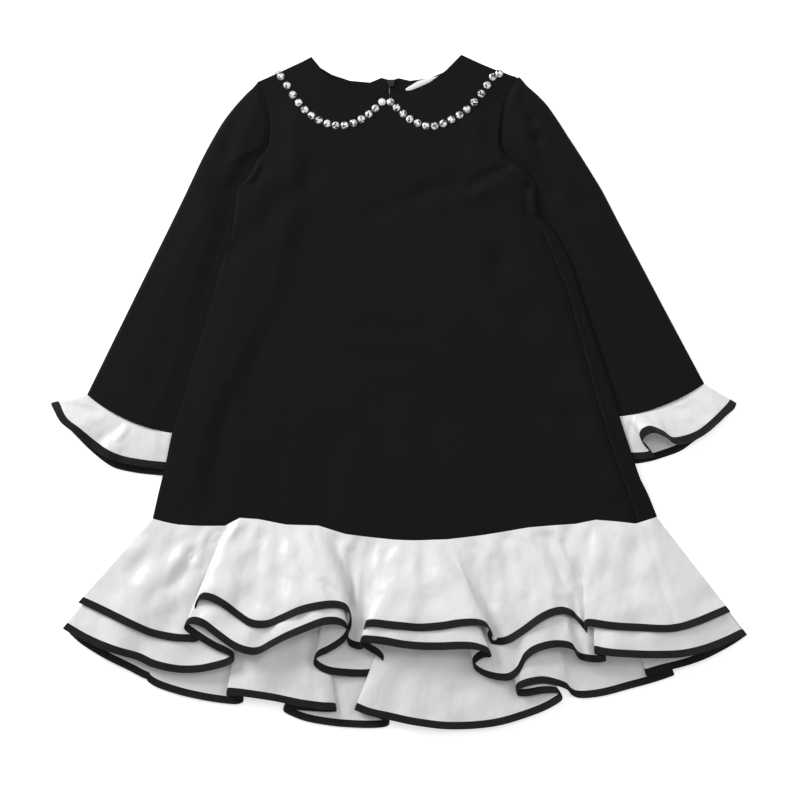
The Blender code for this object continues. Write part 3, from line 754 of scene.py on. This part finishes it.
# One row for each fold round the cuff: share of the seam, hem x, hem y, hem z
LEFT_CUFF_FOLDS = [
    (0, 58, 401.5, 2.4), (0.02, 59.6, 404.2, 4.5), (0.12, 64.6, 414.2, 8), (0.17, 69.6, 420.4, 9.5),
    (0.25, 80, 428, 10.5), (0.38, 96, 441.4, 7), (0.52, 109.2, 450.2, 10), (0.66, 124, 456.1, 7),
    (0.82, 144.4, 459.8, 5.5), (0.93, 160, 461.6, 3), (0.975, 166.5, 462.4, 2.35),
    (1, 174, 465, 1.55), (0.975, 169, 468, 0.75), (0.88, 156, 467.6, 0.75),
    (0.74, 136, 465.4, 0.75), (0.58, 116, 460.4, 0.75), (0.42, 98.4, 447.8, 0.75),
    (0.26, 80.4, 430.2, 0.75), (0.12, 64.8, 414.6, 0.75), (0.02, 59, 405, 0.75),
]
RIGHT_CUFF_FOLDS = [
    (0, 730.2, 399.5, 2.4), (0.02, 728, 403, 4.5), (0.12, 713, 417.9, 8), (0.26, 699.4, 428.9, 9),
    (0.4, 686.2, 434.8, 10), (0.52, 672, 437, 13.5), (0.6, 662, 430.5, 16), (0.69, 650, 425.8, 16),
    (0.76, 642, 428.5, 14.5), (0.8, 639.2, 434, 12.5), (0.83, 642, 440, 10.5),
    (0.855, 647, 446, 8.5), (0.88, 649, 450.5, 6.5), (0.91, 643.5, 452, 4.8),
    (0.96, 633, 452.5, 3.2), (1, 622, 453, 1.55), (0.97, 630, 456.5, 0.75), (0.86, 645, 455, 0.75),
    (0.72, 661, 450.5, 0.75), (0.54, 678, 444, 0.75), (0.38, 692, 434, 0.75),
    (0.24, 706, 425, 0.75), (0.12, 718, 413.5, 0.75), (0.02, 728.5, 404.5, 0.75),
]
# The binding's width, its rows, and its distance from the cloth
BAND = 7.6
BAND_ROWS = 8
BAND_CLEAR = 0.15
# How far below its seam a flounce starts, and the lowest that its middle may lie
SEAM_CLEAR = 0.3
LOWEST = 0.62
# Height of the cuff's seam, and how far its two layers stand apart from it
CUFF_SEAM = 1.45
CUFF_OPEN = 0.85
# How roundly a flounce swells from its seam
CUFF_SWELL = 1.3
# A crease shows where the hem stands above this height: height, slope
STANDING = (2.0, 4.0)


# %% The flounces' two cloths
def stops_down(rows, extra):
    """Reaches down a flounce to its binding, and then across the binding."""
    stops = [(j / rows, extra * j / rows) for j in range(rows + 1)]
    return stops + [(1.0, extra + BAND_CLEAR + BAND * j / BAND_ROWS) for j in range(BAND_ROWS + 1)]


def down_fold(seam, hem, stops, swell):
    """Places down one fold from the seam past the hem: x, y, z, the reach and its share."""
    length = math.hypot(hem[0] - seam[0], hem[1] - seam[1])
    for share, extra in stops:
        reach = SEAM_CLEAR + share * (length - SEAM_CLEAR) + extra
        part = reach / length
        rise = part if part > 1 else 1 - (1 - part) ** swell
        x, y, z = [a + (b - a) * k for a, b, k in zip(seam, hem, (part, part, rise))]
        yield x, y, z, reach, part


def make_flounce(name, node, grid, ring=False, bead=0.25):
    """The black binding and the white cloth of a flounce, cut from one grid."""
    normals = facing(grid, ring)
    split = len(grid[0]) - BAND_ROWS - 1
    white = [line[:split] for line in grid]
    black = [line[split:] for line in grid]
    band = cloth(name + "_binding", black, BINDING, binding, ring,
                 [line[split:] for line in normals], bead)
    sew_on(band, [node.replace("flounce", "binding")])
    frill = cloth(name + "_flounce", white, SATIN, satin, ring, [line[:split] for line in normals])
    sew_on(frill, [node], cut_size(white, ring))


# %% The cuffs
def make_cuff(which, section, folds):
    """A cuff flounce, flat beneath and waved on top."""
    widest = max(range(len(folds)), key=lambda k: folds[k][0])
    rows = []
    for index, (share, *hem) in enumerate(folds):
        height = CUFF_SEAM
        if index not in (0, widest):
            height += CUFF_OPEN if index < widest else -CUFF_OPEN
        rows.append((*section_place(section, share), height, *hem))
    grid = []
    for row in finer(rows, 9, ring=True):
        standing = ease((row[5] - STANDING[0]) / STANDING[1])
        run = []
        for x, y, z, reach, part in down_fold(row[:3], row[3:], stops_down(16, 0.0), CUFF_SWELL):
            z -= creased(x, y, SATIN_CREASES) * standing * ease(part * 3.0)
            run.append(place(x, y, max(z, LOWEST)))
        grid.append(run)
    make_flounce(which + "_cuff", "cuff_flounce_" + which, grid, ring=True)


make_cuff("left", LEFT_SLEEVE[-1], LEFT_CUFF_FOLDS)
make_cuff("right", RIGHT_SLEEVE[-1], RIGHT_CUFF_FOLDS)

# %% [markdown]
# ## The hem flounces
# Two tiers hang from one seam, in front and again at the back, and the lower tier is the longer.
# In front it waves with the upper one, and its spare length doubles back under each wave. Each
# row of a table is one line down a fold: where it leaves the seam, and where it meets the
# binding.

# %% The hem's tables
# Front: seam x, then the upper tier's hem x, y and z
FRONT_FOLDS = [
    (153, 83.4, 596.7, 7.5), (162, 106.3, 607, 12), (175, 132.9, 619.4, 15),
    (188, 152.8, 628.2, 14.5), (200, 172.7, 632.7, 13), (209, 189, 633.8, 12),
    (216, 198.5, 633.5, 11.5), (221, 203.5, 625, 12), (225, 202.5, 611, 14),
    (229.5, 198.5, 599, 18.5), (235, 204, 591.8, 21.8), (243, 215, 593.3, 23.2),
    (247, 227.4, 600.3, 23.5), (254, 239, 609.4, 22.5), (262, 252.2, 617.7, 22),
    (271, 267.2, 618.9, 23), (281, 281, 613.6, 24), (294, 300, 605, 26), (308, 321.5, 600, 27),
    (320, 336, 599.3, 26.5), (327, 345, 602, 25), (332, 349.5, 608, 22.5), (336, 350, 618, 19),
    (340, 347, 629, 15), (346, 349, 637.5, 12.5), (355, 356.5, 641, 12), (366, 363, 640.5, 12.5),
    (375, 367.5, 634.5, 15), (382, 366.5, 626, 18.6), (388, 366.8, 619.5, 22),
    (395, 375, 617.8, 24.2), (404, 389, 619.5, 25.2), (413, 403, 620.8, 25),
    (421, 420, 622.3, 24.5), (427, 440, 620.8, 25.5), (432, 459, 617.7, 26.5),
    (437, 474, 617.2, 26), (442, 484, 620, 23.5), (447, 488.7, 627, 19.5),
    (452, 487.5, 633.5, 15.5), (459, 492, 636.8, 13), (471, 505, 636, 13), (486, 520.5, 626.9, 16),
    (502, 536.6, 614.4, 20), (519, 549.9, 607.8, 22), (537, 561, 605.8, 20.5), (553, 571, 609, 17),
    (565, 579, 617, 14.2), (576, 585.5, 624, 13.5), (583, 586, 624, 16.5), (589, 584, 619.5, 20.5),
    (596, 590, 617.8, 22.5), (605, 611.2, 620.7, 22.5), (619, 639.4, 622.7, 21.5),
    (634, 669.3, 623.5, 20.5), (647, 694, 617.7, 15), (656.8, 725.6, 605.6, 7.5),
]
# Front: the same for the lower tier
FRONT_LOWER_FOLDS = [
    (153, 67.4, 622.7, 5.6), (162, 89.8, 635.2, 9.5), (175, 114.6, 645, 12.5),
    (188, 139.5, 652.6, 12.5), (198, 156, 660, 11.5), (206, 177.6, 664.7, 11),
    (212, 197.5, 664.7, 11), (216, 214, 661.5, 11.5), (218.5, 227, 657.5, 12),
    (220, 233.5, 652.5, 13), (221.2, 229, 647.5, 13.5), (222.4, 214, 640, 14),
    (223.8, 197, 629, 15), (225.4, 188.5, 622, 16.5), (228, 189.3, 617.6, 18.5),
    (232, 196, 615.8, 19.8), (239, 206.5, 619, 21.5), (246, 219, 628.5, 23.5),
    (253, 234, 639.3, 23), (260, 247.3, 644.8, 22.8), (268, 259, 645.4, 23.4),
    (279, 272, 638.5, 24.4), (290, 286, 631, 25.4), (300, 300, 625, 26.5),
    (312, 321.5, 616.6, 27.8), (320, 334.7, 615.4, 27.2), (326, 343, 618.2, 25.5),
    (330, 347, 623.5, 22.5), (332.5, 346, 630, 19.5), (334.5, 340, 637, 17.5),
    (336.5, 329, 644.3, 15.5), (338.5, 319, 649.5, 14), (341, 315.5, 655.5, 12.6),
    (344, 319.5, 661.5, 10.6), (350, 330, 666.5, 8.6), (358, 347, 668.8, 6.4),
    (366, 364, 669.5, 4.6), (372, 378, 667.5, 4.2), (375.5, 384, 661, 5.4), (378, 381, 651, 10),
    (381, 369, 642, 17), (385, 362.3, 637, 19.5), (390, 364, 634.2, 21.5),
    (396, 371.5, 634.2, 23.5), (404, 385, 635.6, 25), (413, 404, 639, 25.6),
    (421, 422, 640.8, 25.6), (427, 441, 640.8, 26.2), (432, 457, 640, 27), (437, 471, 640.5, 26.8),
    (441, 481, 643, 25), (444, 487.5, 646.5, 22), (446, 487, 649, 19.5), (447.5, 481, 649.5, 17.5),
    (449.5, 475, 653.5, 15.5), (452, 472.5, 658.5, 14), (455.5, 475.5, 663.5, 12.8),
    (460, 484, 669, 12), (467, 496.5, 672.3, 12), (475, 508, 672.2, 12.6), (482, 516, 667, 12),
    (487, 520, 660.5, 12.8), (492, 524, 652.5, 13.8), (499, 532, 645.5, 15.6), (508, 543, 641, 18),
    (518, 554, 639.2, 19.8), (529, 564, 639.6, 19.8), (539, 571, 642, 18.4), (547, 574.5, 647, 16),
    (555, 579, 651.8, 14.2), (565, 588, 653.8, 13.4), (574, 598, 654.5, 13.4),
    (580, 604, 652.5, 14.5), (584, 600, 648.5, 17), (588, 594.5, 645.5, 20), (592, 595, 644.6, 22),
    (600, 605, 646.5, 23), (612, 626, 648.5, 22.6), (626, 652, 649.6, 21.6), (640, 678, 649, 19),
    (649, 702, 644.5, 13.5), (654, 724, 637, 9), (656.8, 740.6, 629.4, 5.6),
]
# Back: seam x and the edge x and y of the flat upper tier
BACK_UPPER_FOLDS = [
    (153, 76, 634), (176, 123, 659.5), (204, 176, 687), (231, 232, 692), (254, 248, 689),
    (284, 300, 699), (306, 330, 702.5), (331, 343, 712), (357, 358, 710.7), (377, 365.5, 706.8),
    (404, 396, 714), (433, 446, 722), (465, 496, 719), (496, 541, 703.5), (516, 556, 693),
    (553, 577, 684), (589, 629, 675.5), (630, 694, 657), (656.8, 738, 632),
]
# Back: seam x, hem x, y and z of the lower tier, which doubles over itself
BACK_LOWER_FOLDS = [
    (153, 73.5, 627.5, 2.6), (160, 86, 638.5, 3.2), (170, 108, 652, 3.6), (180, 130, 663, 3.4),
    (186, 143, 670, 3.2), (188, 148.5, 672.5, 2.8), (190, 150.5, 675.5, 2.2), (196, 160, 681, 2),
    (207, 181, 688, 2), (222, 206, 693.5, 1.9), (234, 226, 696.5, 1.8), (240, 237, 697, 1.9),
    (243, 242.8, 694.5, 3), (244.5, 239, 691.5, 4.6), (246, 231.5, 689.5, 5.6),
    (248, 227.8, 688, 6.8), (250.5, 231, 687.6, 8.2), (256, 247, 689, 8.8), (267, 272, 693, 8.8),
    (282, 300, 699, 8.8), (300, 320, 701.5, 8.6), (312, 331, 702.5, 8.2), (317, 334.8, 703.5, 6.8),
    (319, 333.5, 704.5, 5.2), (320.5, 322, 704.5, 4.4), (322, 300, 703, 3.8), (323, 289, 702.5, 3),
    (324.5, 285.5, 703.5, 2), (328, 290, 707.5, 1.5), (336, 308, 714.5, 1.5), (350, 334, 719, 1.5),
    (366, 358, 720.8, 1.5), (380, 377, 720.8, 1.6), (390, 386, 719.5, 1.9), (394, 389, 717, 3),
    (396.5, 384, 713, 4.4), (398.5, 370, 707, 5), (400, 361, 703.5, 6), (401.5, 357.6, 702.6, 7.2),
    (405, 360.5, 704, 9.8), (412, 373, 708.5, 11.2), (424, 396, 713.5, 11), (437, 421, 718.5, 9.4),
    (449, 446, 721.5, 8), (461, 470.7, 721.5, 6.6), (472, 495.6, 718.5, 5.4), (481, 517, 713, 4.6),
    (487, 538, 705.5, 4.4), (491, 551, 699, 4.8), (493.5, 558.5, 693, 5.8), (495, 555.5, 687, 6.8),
    (496.5, 542, 686.2, 7.4), (498, 528, 688.4, 7.9), (499.5, 518.5, 688.6, 8.4),
    (501, 516, 685.8, 9), (504, 518, 682, 9.6), (508, 524, 679, 10.2), (515, 533, 676.8, 10.6),
    (524, 544, 676, 10.2), (534, 556.5, 678.6, 8.6), (542, 566, 682.5, 6.4), (548, 571, 688, 4.4),
    (555, 578, 690.8, 3.2), (564, 590, 690.6, 2.5), (576, 606, 688, 2.4), (590, 628, 682, 2.3),
    (601, 650, 676, 2.2), (606, 664, 671.5, 2.2), (608.5, 671, 668.5, 2.8), (610, 668, 666, 3.8),
    (611, 656, 667.5, 4.4), (612, 647.5, 668.5, 5), (613.5, 645, 668.6, 5.8),
    (616, 648, 668.4, 6.5), (623, 661, 664.5, 6.8), (633, 681, 659.5, 6.6), (642, 700, 653, 6),
    (649, 717, 645, 4.8), (654, 732, 636.5, 3.6), (656.8, 743, 629, 2.6),
]
# The flat tier ends this far short of the edge in its table, and is this high
TIER_REACH = 25.0
FLAT_TIER = 0.55
FRONT_UPPER_SEAM = 5.7
FRONT_LOWER_SEAM = 4.3
BACK_LOWER_SEAM = 2.1
TIER_SWELL = 1.25
TIER_BEAD = 0.3
FLAT_BEAD = 0.08
RIPPLE = 2.5
# Sizes of the ripples that fan out from the gathers: across and down the cloth
FAN = (13.0, 80.0)
# Sizes of the handling creases: across, down, and the length over which they slant by one
HANDLING = (15.0, 26.0, 90.0)
# Ripples grow over this reach from the seam, and over this height of the hem
RIPPLE_GROWS = (12.0, 9.0)
CREASE_GROWS = 8.0


# %% The hem flounces
def rippled(seam_x, reach):
    """Height of the soft ripples that fan out from the gathers, and of small handling creases."""
    across, down, slant = HANDLING
    fan = noise.noise(Vector((seam_x / FAN[0], reach / FAN[1], 3.1)))
    crease = noise.noise(Vector((seam_x / across + reach / slant, reach / down, 7.7)))
    return RIPPLE * (fan + crease)


def make_tier(side, level, folds, seam_z, flat=False):
    """One tier of the hem flounce; only the tier on top has creases pressed into it."""
    seam_line = [(line[3], line[4 if side == "front" else 5]) for line in BODY_LINES]
    stops = stops_down(30, -TIER_REACH if flat else 0.0)
    on_top = (side, level) == ("front", "upper")
    near_seam, low_hem = RIPPLE_GROWS
    grid = []
    for seam_x, *hem in finer(folds, 7):
        seam = (seam_x, read(seam_line, seam_x, 1), seam_z)
        run = []
        for x, y, z, reach, part in down_fold(seam, hem, stops, TIER_SWELL):
            if not flat:
                z += rippled(seam_x, reach) * ease(reach / near_seam) * ease(hem[2] / low_hem)
            if on_top:
                z -= creased(x, y, SATIN_CREASES) * ease(reach / CREASE_GROWS)
            run.append(place(x, y, z))
        grid.append(run)
    bead = FLAT_BEAD if flat else TIER_BEAD
    make_flounce(side + "_" + level, level + "_flounce_" + side, grid, bead=bead)


make_tier("back", "upper", [(*fold, FLAT_TIER) for fold in BACK_UPPER_FOLDS], FLAT_TIER,
          flat=True)
make_tier("back", "lower", BACK_LOWER_FOLDS, BACK_LOWER_SEAM)
make_tier("front", "lower", FRONT_LOWER_FOLDS, FRONT_LOWER_SEAM)
make_tier("front", "upper", FRONT_FOLDS, FRONT_UPPER_SEAM)

# %% [markdown]
# ## What repeats: stones, stitches and the zip's coil
# One Geometry Nodes tree sets a small shape on every point of a guide mesh, turned as the
# guide's attribute says and by chance about its own axis. The result is made a plain mesh,
# because only that is kept.

# %% A tree that sets a shape on points
GIVEN = {"Points": "Geometry", "Shape": "Object", "Turn spread": "Float", "Seed": "Int",
         "Finish": "Material"}
FACET_SHARP = 25


def setting_tree(name):
    """Set the given shape on each point, turned by its angles, with all of them made real."""
    tree = bpy.data.node_groups.new(name, "GeometryNodeTree")
    for socket, kind in GIVEN.items():
        tree.interface.new_socket(socket, in_out="INPUT", socket_type="NodeSocket" + kind)
    tree.interface.new_socket("Pieces", in_out="OUTPUT", socket_type="NodeSocketGeometry")

    def add(kind, links=None, **settings):
        """A new node with its settings, its inputs linked, and its outputs to hand."""
        made = tree.nodes.new(kind)
        for setting, value in settings.items():
            setattr(made, setting, value)
        for socket, source in (links or {}).items():
            if hasattr(source, "is_output"):
                tree.links.new(source, made.inputs[socket])
            else:
                made.inputs[socket].default_value = source
        return made.outputs

    given = add("NodeGroupInput")
    spread = given["Turn spread"]
    shape = add("GeometryNodeObjectInfo", {"Object": given["Shape"]})
    turn = add("GeometryNodeInputNamedAttribute", {"Name": "turn"}, data_type="FLOAT_VECTOR")
    least = add("ShaderNodeMath", {0: spread, 1: -1.0}, operation="MULTIPLY")
    chance = add("FunctionNodeRandomValue", {2: least[0], 3: spread, "Seed": given["Seed"]},
                 data_type="FLOAT")
    about_z = add("ShaderNodeCombineXYZ", {"Z": chance[1]})
    total = add("ShaderNodeVectorMath", {0: turn[0], 1: about_z[0]})
    rotation = add("FunctionNodeEulerToRotation", {0: total[0]})
    setting = add("GeometryNodeInstanceOnPoints", {"Points": given["Points"],
                                                   "Instance": shape["Geometry"],
                                                   "Rotation": rotation[0]})
    real = add("GeometryNodeRealizeInstances", {0: setting[0]})
    coat = add("GeometryNodeSetMaterial", {"Geometry": real[0], "Material": given["Finish"]})
    add("NodeGroupOutput", {"Pieces": coat[0]})
    return tree


SETTING = setting_tree("set_on_points")


def set_on(name, points, turns, shape, finish, spread=0.0, seed=1):
    """Set a shape on points with a turn for each, and return one plain mesh object."""
    data = bpy.data.meshes.new(name + "_guide")
    data.from_pydata([tuple(point) for point in points], [], [])
    attribute = data.attributes.new("turn", "FLOAT_VECTOR", "POINT")
    for item, turn in zip(attribute.data, turns):
        item.vector = turn
    guide = bpy.data.objects.new(name + "_guide", data)
    bpy.context.scene.collection.objects.link(guide)
    modifier = guide.modifiers.new("setting", "NODES")
    modifier.node_group = SETTING
    values = {"Shape": shape, "Turn spread": spread, "Seed": seed, "Finish": finish}
    for item in SETTING.interface.items_tree:
        if item.in_out == "INPUT" and item.name in values:
            modifier[item.identifier] = values[item.name]
    bpy.context.view_layer.update()
    evaluated = guide.evaluated_get(bpy.context.evaluated_depsgraph_get())
    mesh = bpy.data.meshes.new_from_object(evaluated)
    mesh.name = name
    mesh.set_sharp_from_angle(angle=math.radians(FACET_SHARP))
    piece = bpy.data.objects.new(name, mesh)
    bpy.context.scene.collection.objects.link(piece)
    for spent in (guide, shape):
        bpy.data.objects.remove(spent, do_unlink=True)
    return piece


# %% A shape to set
def turned_shape(name, profile, sides, twist=()):
    """A shape turned round the upright axis from radius and height pairs, in millimetres.

    The rings that twist names are turned by half a facet, which makes kites of the facets.
    """
    mesh = bmesh.new()
    rings = []
    for index, (radius, height) in enumerate(profile):
        offset = math.pi / sides if index in twist else 0.0
        angles = [2 * math.pi * k / sides + offset for k in range(sides)]
        rings.append([mesh.verts.new((radius * MM * math.cos(angle), radius * MM * math.sin(angle),
                                      height * MM)) for angle in angles])
    for low, high in zip(rings, rings[1:]):
        for k in range(sides):
            mesh.faces.new((low[k], low[(k + 1) % sides], high[(k + 1) % sides], high[k]))
    mesh.faces.new(rings[0])
    mesh.faces.new(rings[-1])
    bmesh.ops.triangulate(mesh, faces=mesh.faces)
    bmesh.ops.recalc_face_normals(mesh, faces=mesh.faces)
    data = bpy.data.meshes.new(name)
    mesh.to_mesh(data)
    mesh.free()
    shape = bpy.data.objects.new(name, data)
    bpy.context.scene.collection.objects.link(shape)
    return shape


# %% [markdown]
# ## The stones
# Thirty-two round cut stones mark a collar on the front. Each sits in a dull cup; its crown has
# rings of facets and a flat table. The bright and dark flecks of real ones come partly from these
# facets catching the lights and partly from painted reflection in the stones' colour.

# %% The stones
STONES = [
    (280.7, 76.2), (286.9, 85.2), (292.7, 94.4), (298.6, 102.5), (304.7, 109.6), (311.5, 115.3),
    (318.9, 119.9), (327.3, 123.3), (335.7, 125.2), (344.6, 125.2), (353.4, 122.8), (361.4, 118.9),
    (368.8, 114), (375.4, 108.2), (382, 101.8), (390.4, 101.8), (396.6, 107.4), (403.2, 113.5),
    (409.8, 118.9), (417.6, 122.9), (426, 125.6), (434.7, 125.7), (443.3, 123.3), (451.5, 119.3),
    (459.6, 114.8), (467.1, 109.3), (474.3, 101.9), (481.4, 93.5), (487.3, 84.9), (492.9, 76.6),
    (499.2, 73.4),
]
NAMED_STONES = 30
# The last stone lies half over the shoulder's edge: x, y, height
STONE_OVER_EDGE = (278.4, 74.2, 0.6)
# Radius and height of each ring of a stone
CROWN = [(3.3, 0.2), (3.7, 0.8), (2.9, 1.5), (1.8, 1.95)]
CUP = [(3.4, 0.0), (3.9, 0.15), (4.0, 0.6), (3.75, 0.8), (3.3, 0.4)]
STONE_CLEAR = 0.1
STONE_TILT = 0.05


def make_stones():
    """The cut stones and their cups, standing for the frame's plain cones."""
    crown = turned_shape("crown", CROWN, sides=8, twist=(2,))
    cup = turned_shape("cup", CUP, sides=24)
    spots = [place(x, y, front_height(x, y) + 0.5 * PONTE + STONE_CLEAR) for x, y in STONES]
    spots.append(place(*STONE_OVER_EDGE))
    turns = [(STONE_TILT * math.sin(7 * k), STONE_TILT * math.cos(5 * k), 0.0)
             for k in range(len(spots))]
    nodes = ["stone_%02d" % (k + 1) for k in range(NAMED_STONES)]
    stones = set_on("stones", spots, turns, crown, stone_cut, spread=0.26, seed=4)
    cups = set_on("stone_cups", spots, turns, cup, stone_cup, spread=0.2, seed=6)
    for piece in (stones, cups):
        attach(piece, "root")
    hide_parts(*nodes)
    print("stones:", len(spots), "triangles:", len(stones.data.polygons))


make_stones()

# %% [markdown]
# ## The zip and the label
# The neck opening shows the inside of the zip: a slider's back and a closed coil of teeth
# between the turned edges of the two backs. The label is a blank satin ribbon.

# %% The zip
ZIP_TOP = 82.0
TAPE_TOP = ZIP_TOP - 1.0
TAPE_END = ZIP_END - 2.0
TAPE_HALF = 1.6
TAPE_THICK = 1.1
TOOTH = [(0.28, -0.8), (0.42, -0.5), (0.42, 0.5), (0.28, 0.8)]
TOOTH_PITCH = 1.1
TOOTH_ASIDE = 0.55
TOOTH_SLANT = 0.35
TOOTH_HEIGHT = 1.35
SLIDER = [(386.3, 79.0), (395.3, 79.0), (393.6, 86.2), (388.2, 86.2)]
SLIDER_LOW = 1.6
SLIDER_HIGH = 3.4
LYING = math.pi / 2


def block(name, outline, low, high, material, bevel):
    """A flat-topped piece on a board outline with rounded edges."""
    mesh = bmesh.new()
    rings = [[mesh.verts.new(place(x, y, z)) for x, y in outline] for z in (low, high)]
    count = len(outline)
    for i in range(count):
        k = (i + 1) % count
        mesh.faces.new((rings[0][i], rings[0][k], rings[1][k], rings[1][i]))
    for ring in rings:
        mesh.faces.new(ring)
    bmesh.ops.recalc_face_normals(mesh, faces=mesh.faces)
    bmesh.ops.bevel(mesh, geom=mesh.edges[:], offset=bevel * MM, segments=3, affect="EDGES",
                    profile=0.6, clamp_overlap=True)
    return as_piece(name, mesh, material, sharp=60)


def make_zip():
    """The zip's coil on its tape, and the slider's back."""
    tooth = turned_shape("tooth", TOOTH, sides=8)
    count = int((TAPE_END - 2.0 - ZIP_TOP) / TOOTH_PITCH)
    spots = []
    turns = []
    for k in range(count):
        side = 1.0 if k % 2 else -1.0
        spots.append(place(ZIP_X + TOOTH_ASIDE * side, ZIP_TOP + TOOTH_PITCH * k, TOOTH_HEIGHT))
        turns.append((0.0, LYING, TOOTH_SLANT * side))
    coil = set_on("zip_coil", spots, turns, tooth, zip_black)
    left = ZIP_X - TAPE_HALF
    right = ZIP_X + TAPE_HALF
    outline = [(left, TAPE_TOP), (right, TAPE_TOP), (right, TAPE_END), (left, TAPE_END)]
    tape = block("zip_tape", outline, 0.0, TAPE_THICK, ponte, bevel=0.2)
    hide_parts("zip_chain")
    slider = block("slider", SLIDER, SLIDER_LOW, SLIDER_HIGH, zip_black, bevel=0.55)
    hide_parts("zip_slider")
    for piece in (coil, tape, slider):
        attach(piece, "root")
    print("zip teeth:", count)


make_zip()

# %% The label
# The lens that shows is shorter than a centimetre, the least length that a cut may state
LEAST_LENGTH = 0.0102
LABEL_LOW = 1.95
LABEL_ARCH = 0.35
LABEL_THICK = 0.5
LABEL_ROWS = 8
# x, upper edge y, lower edge y
LABEL = [(405.6, 88.6, 89.6), (408.0, 86.6, 90.0), (412.0, 84.2, 89.2), (418.5, 80.4, 86.6),
         (428.0, 77.8, 82.4), (433.0, 76.8, 79.8), (438.0, 75.8, 76.6)]


def make_label():
    """The blank neck label, a lens of ribbon that the neckline cuts off."""
    grid = []
    for x, upper, lower in finer(LABEL, 5):
        run = []
        for j in range(LABEL_ROWS + 1):
            y = upper + (lower - upper) * j / LABEL_ROWS
            arch = LABEL_ARCH * math.sin(math.pi * j / LABEL_ROWS)
            run.append(place(x, y, LABEL_LOW + arch))
        grid.append(run)
    piece = cloth("label", grid, LABEL_THICK, label_cloth)
    width, length, area = cut_size(grid)
    cut = (width, max(length, LEAST_LENGTH), area)
    sew_on(piece, ["neck_label"], cut)


make_label()

# %% [markdown]
# ## Stitches
# A row of small stitches holds each seam. They are black on black, so they show only where the
# light rakes across them, and they stop the edges from looking moulded.

# %% The seams' stitches
STITCH = [(0.12, -1.0), (0.2, -0.7), (0.2, 0.7), (0.12, 1.0)]
STITCH_PITCH = 2.8
STITCH_CLEAR = 0.05
BELOW_NECK = 2.6
ABOVE_HEM = 2.4


def stitch_row(name, line):
    """Stitches along a board line, each lying along it on the front's surface."""
    stitch = turned_shape("stitch", STITCH, sides=6)
    spots = []
    turns = []
    spare = 0.0
    for (x0, y0), (x1, y1) in zip(line, line[1:]):
        length = math.hypot(x1 - x0, y1 - y0)
        reach = spare
        while reach < length:
            x = x0 + (x1 - x0) * reach / length
            y = y0 + (y1 - y0) * reach / length
            spots.append(place(x, y, front_height(x, y) + 0.5 * PONTE + STITCH_CLEAR))
            turns.append((0.0, LYING, math.atan2(y0 - y1, x1 - x0)))
            reach += STITCH_PITCH
        spare = reach - length
    row = set_on(name, spots, turns, stitch, thread)
    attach(row, "root")
    print("%s: %d stitches" % (name, len(spots)))


neck = [body_point(line, BODY_LEVELS[0], 1, 4) for line in BODY_LINES[7:17]]
hem = [body_point(line, BODY_LEVELS[-1], 1, 4) for line in BODY_LINES[1:-1]]
stitch_row("neck_stitches", [(x, y + BELOW_NECK) for x, y in neck])
stitch_row("hem_seam_stitches", [(x, y - ABOVE_HEM) for x, y in hem])

# %% [markdown]
# ## The floor
# White paper lies a hair beneath the dress, so that the two never share a level.

# %% The floor
FLOOR_HALF = 6.0
FLOOR_LEVEL = -0.0004
floor_mesh = bmesh.new()
bmesh.ops.create_grid(floor_mesh, x_segments=1, y_segments=1, size=FLOOR_HALF)
bmesh.ops.translate(floor_mesh, verts=floor_mesh.verts, vec=(0.0, 0.0, FLOOR_LEVEL))
floor = as_piece("floor", floor_mesh, paper, sharp=30)
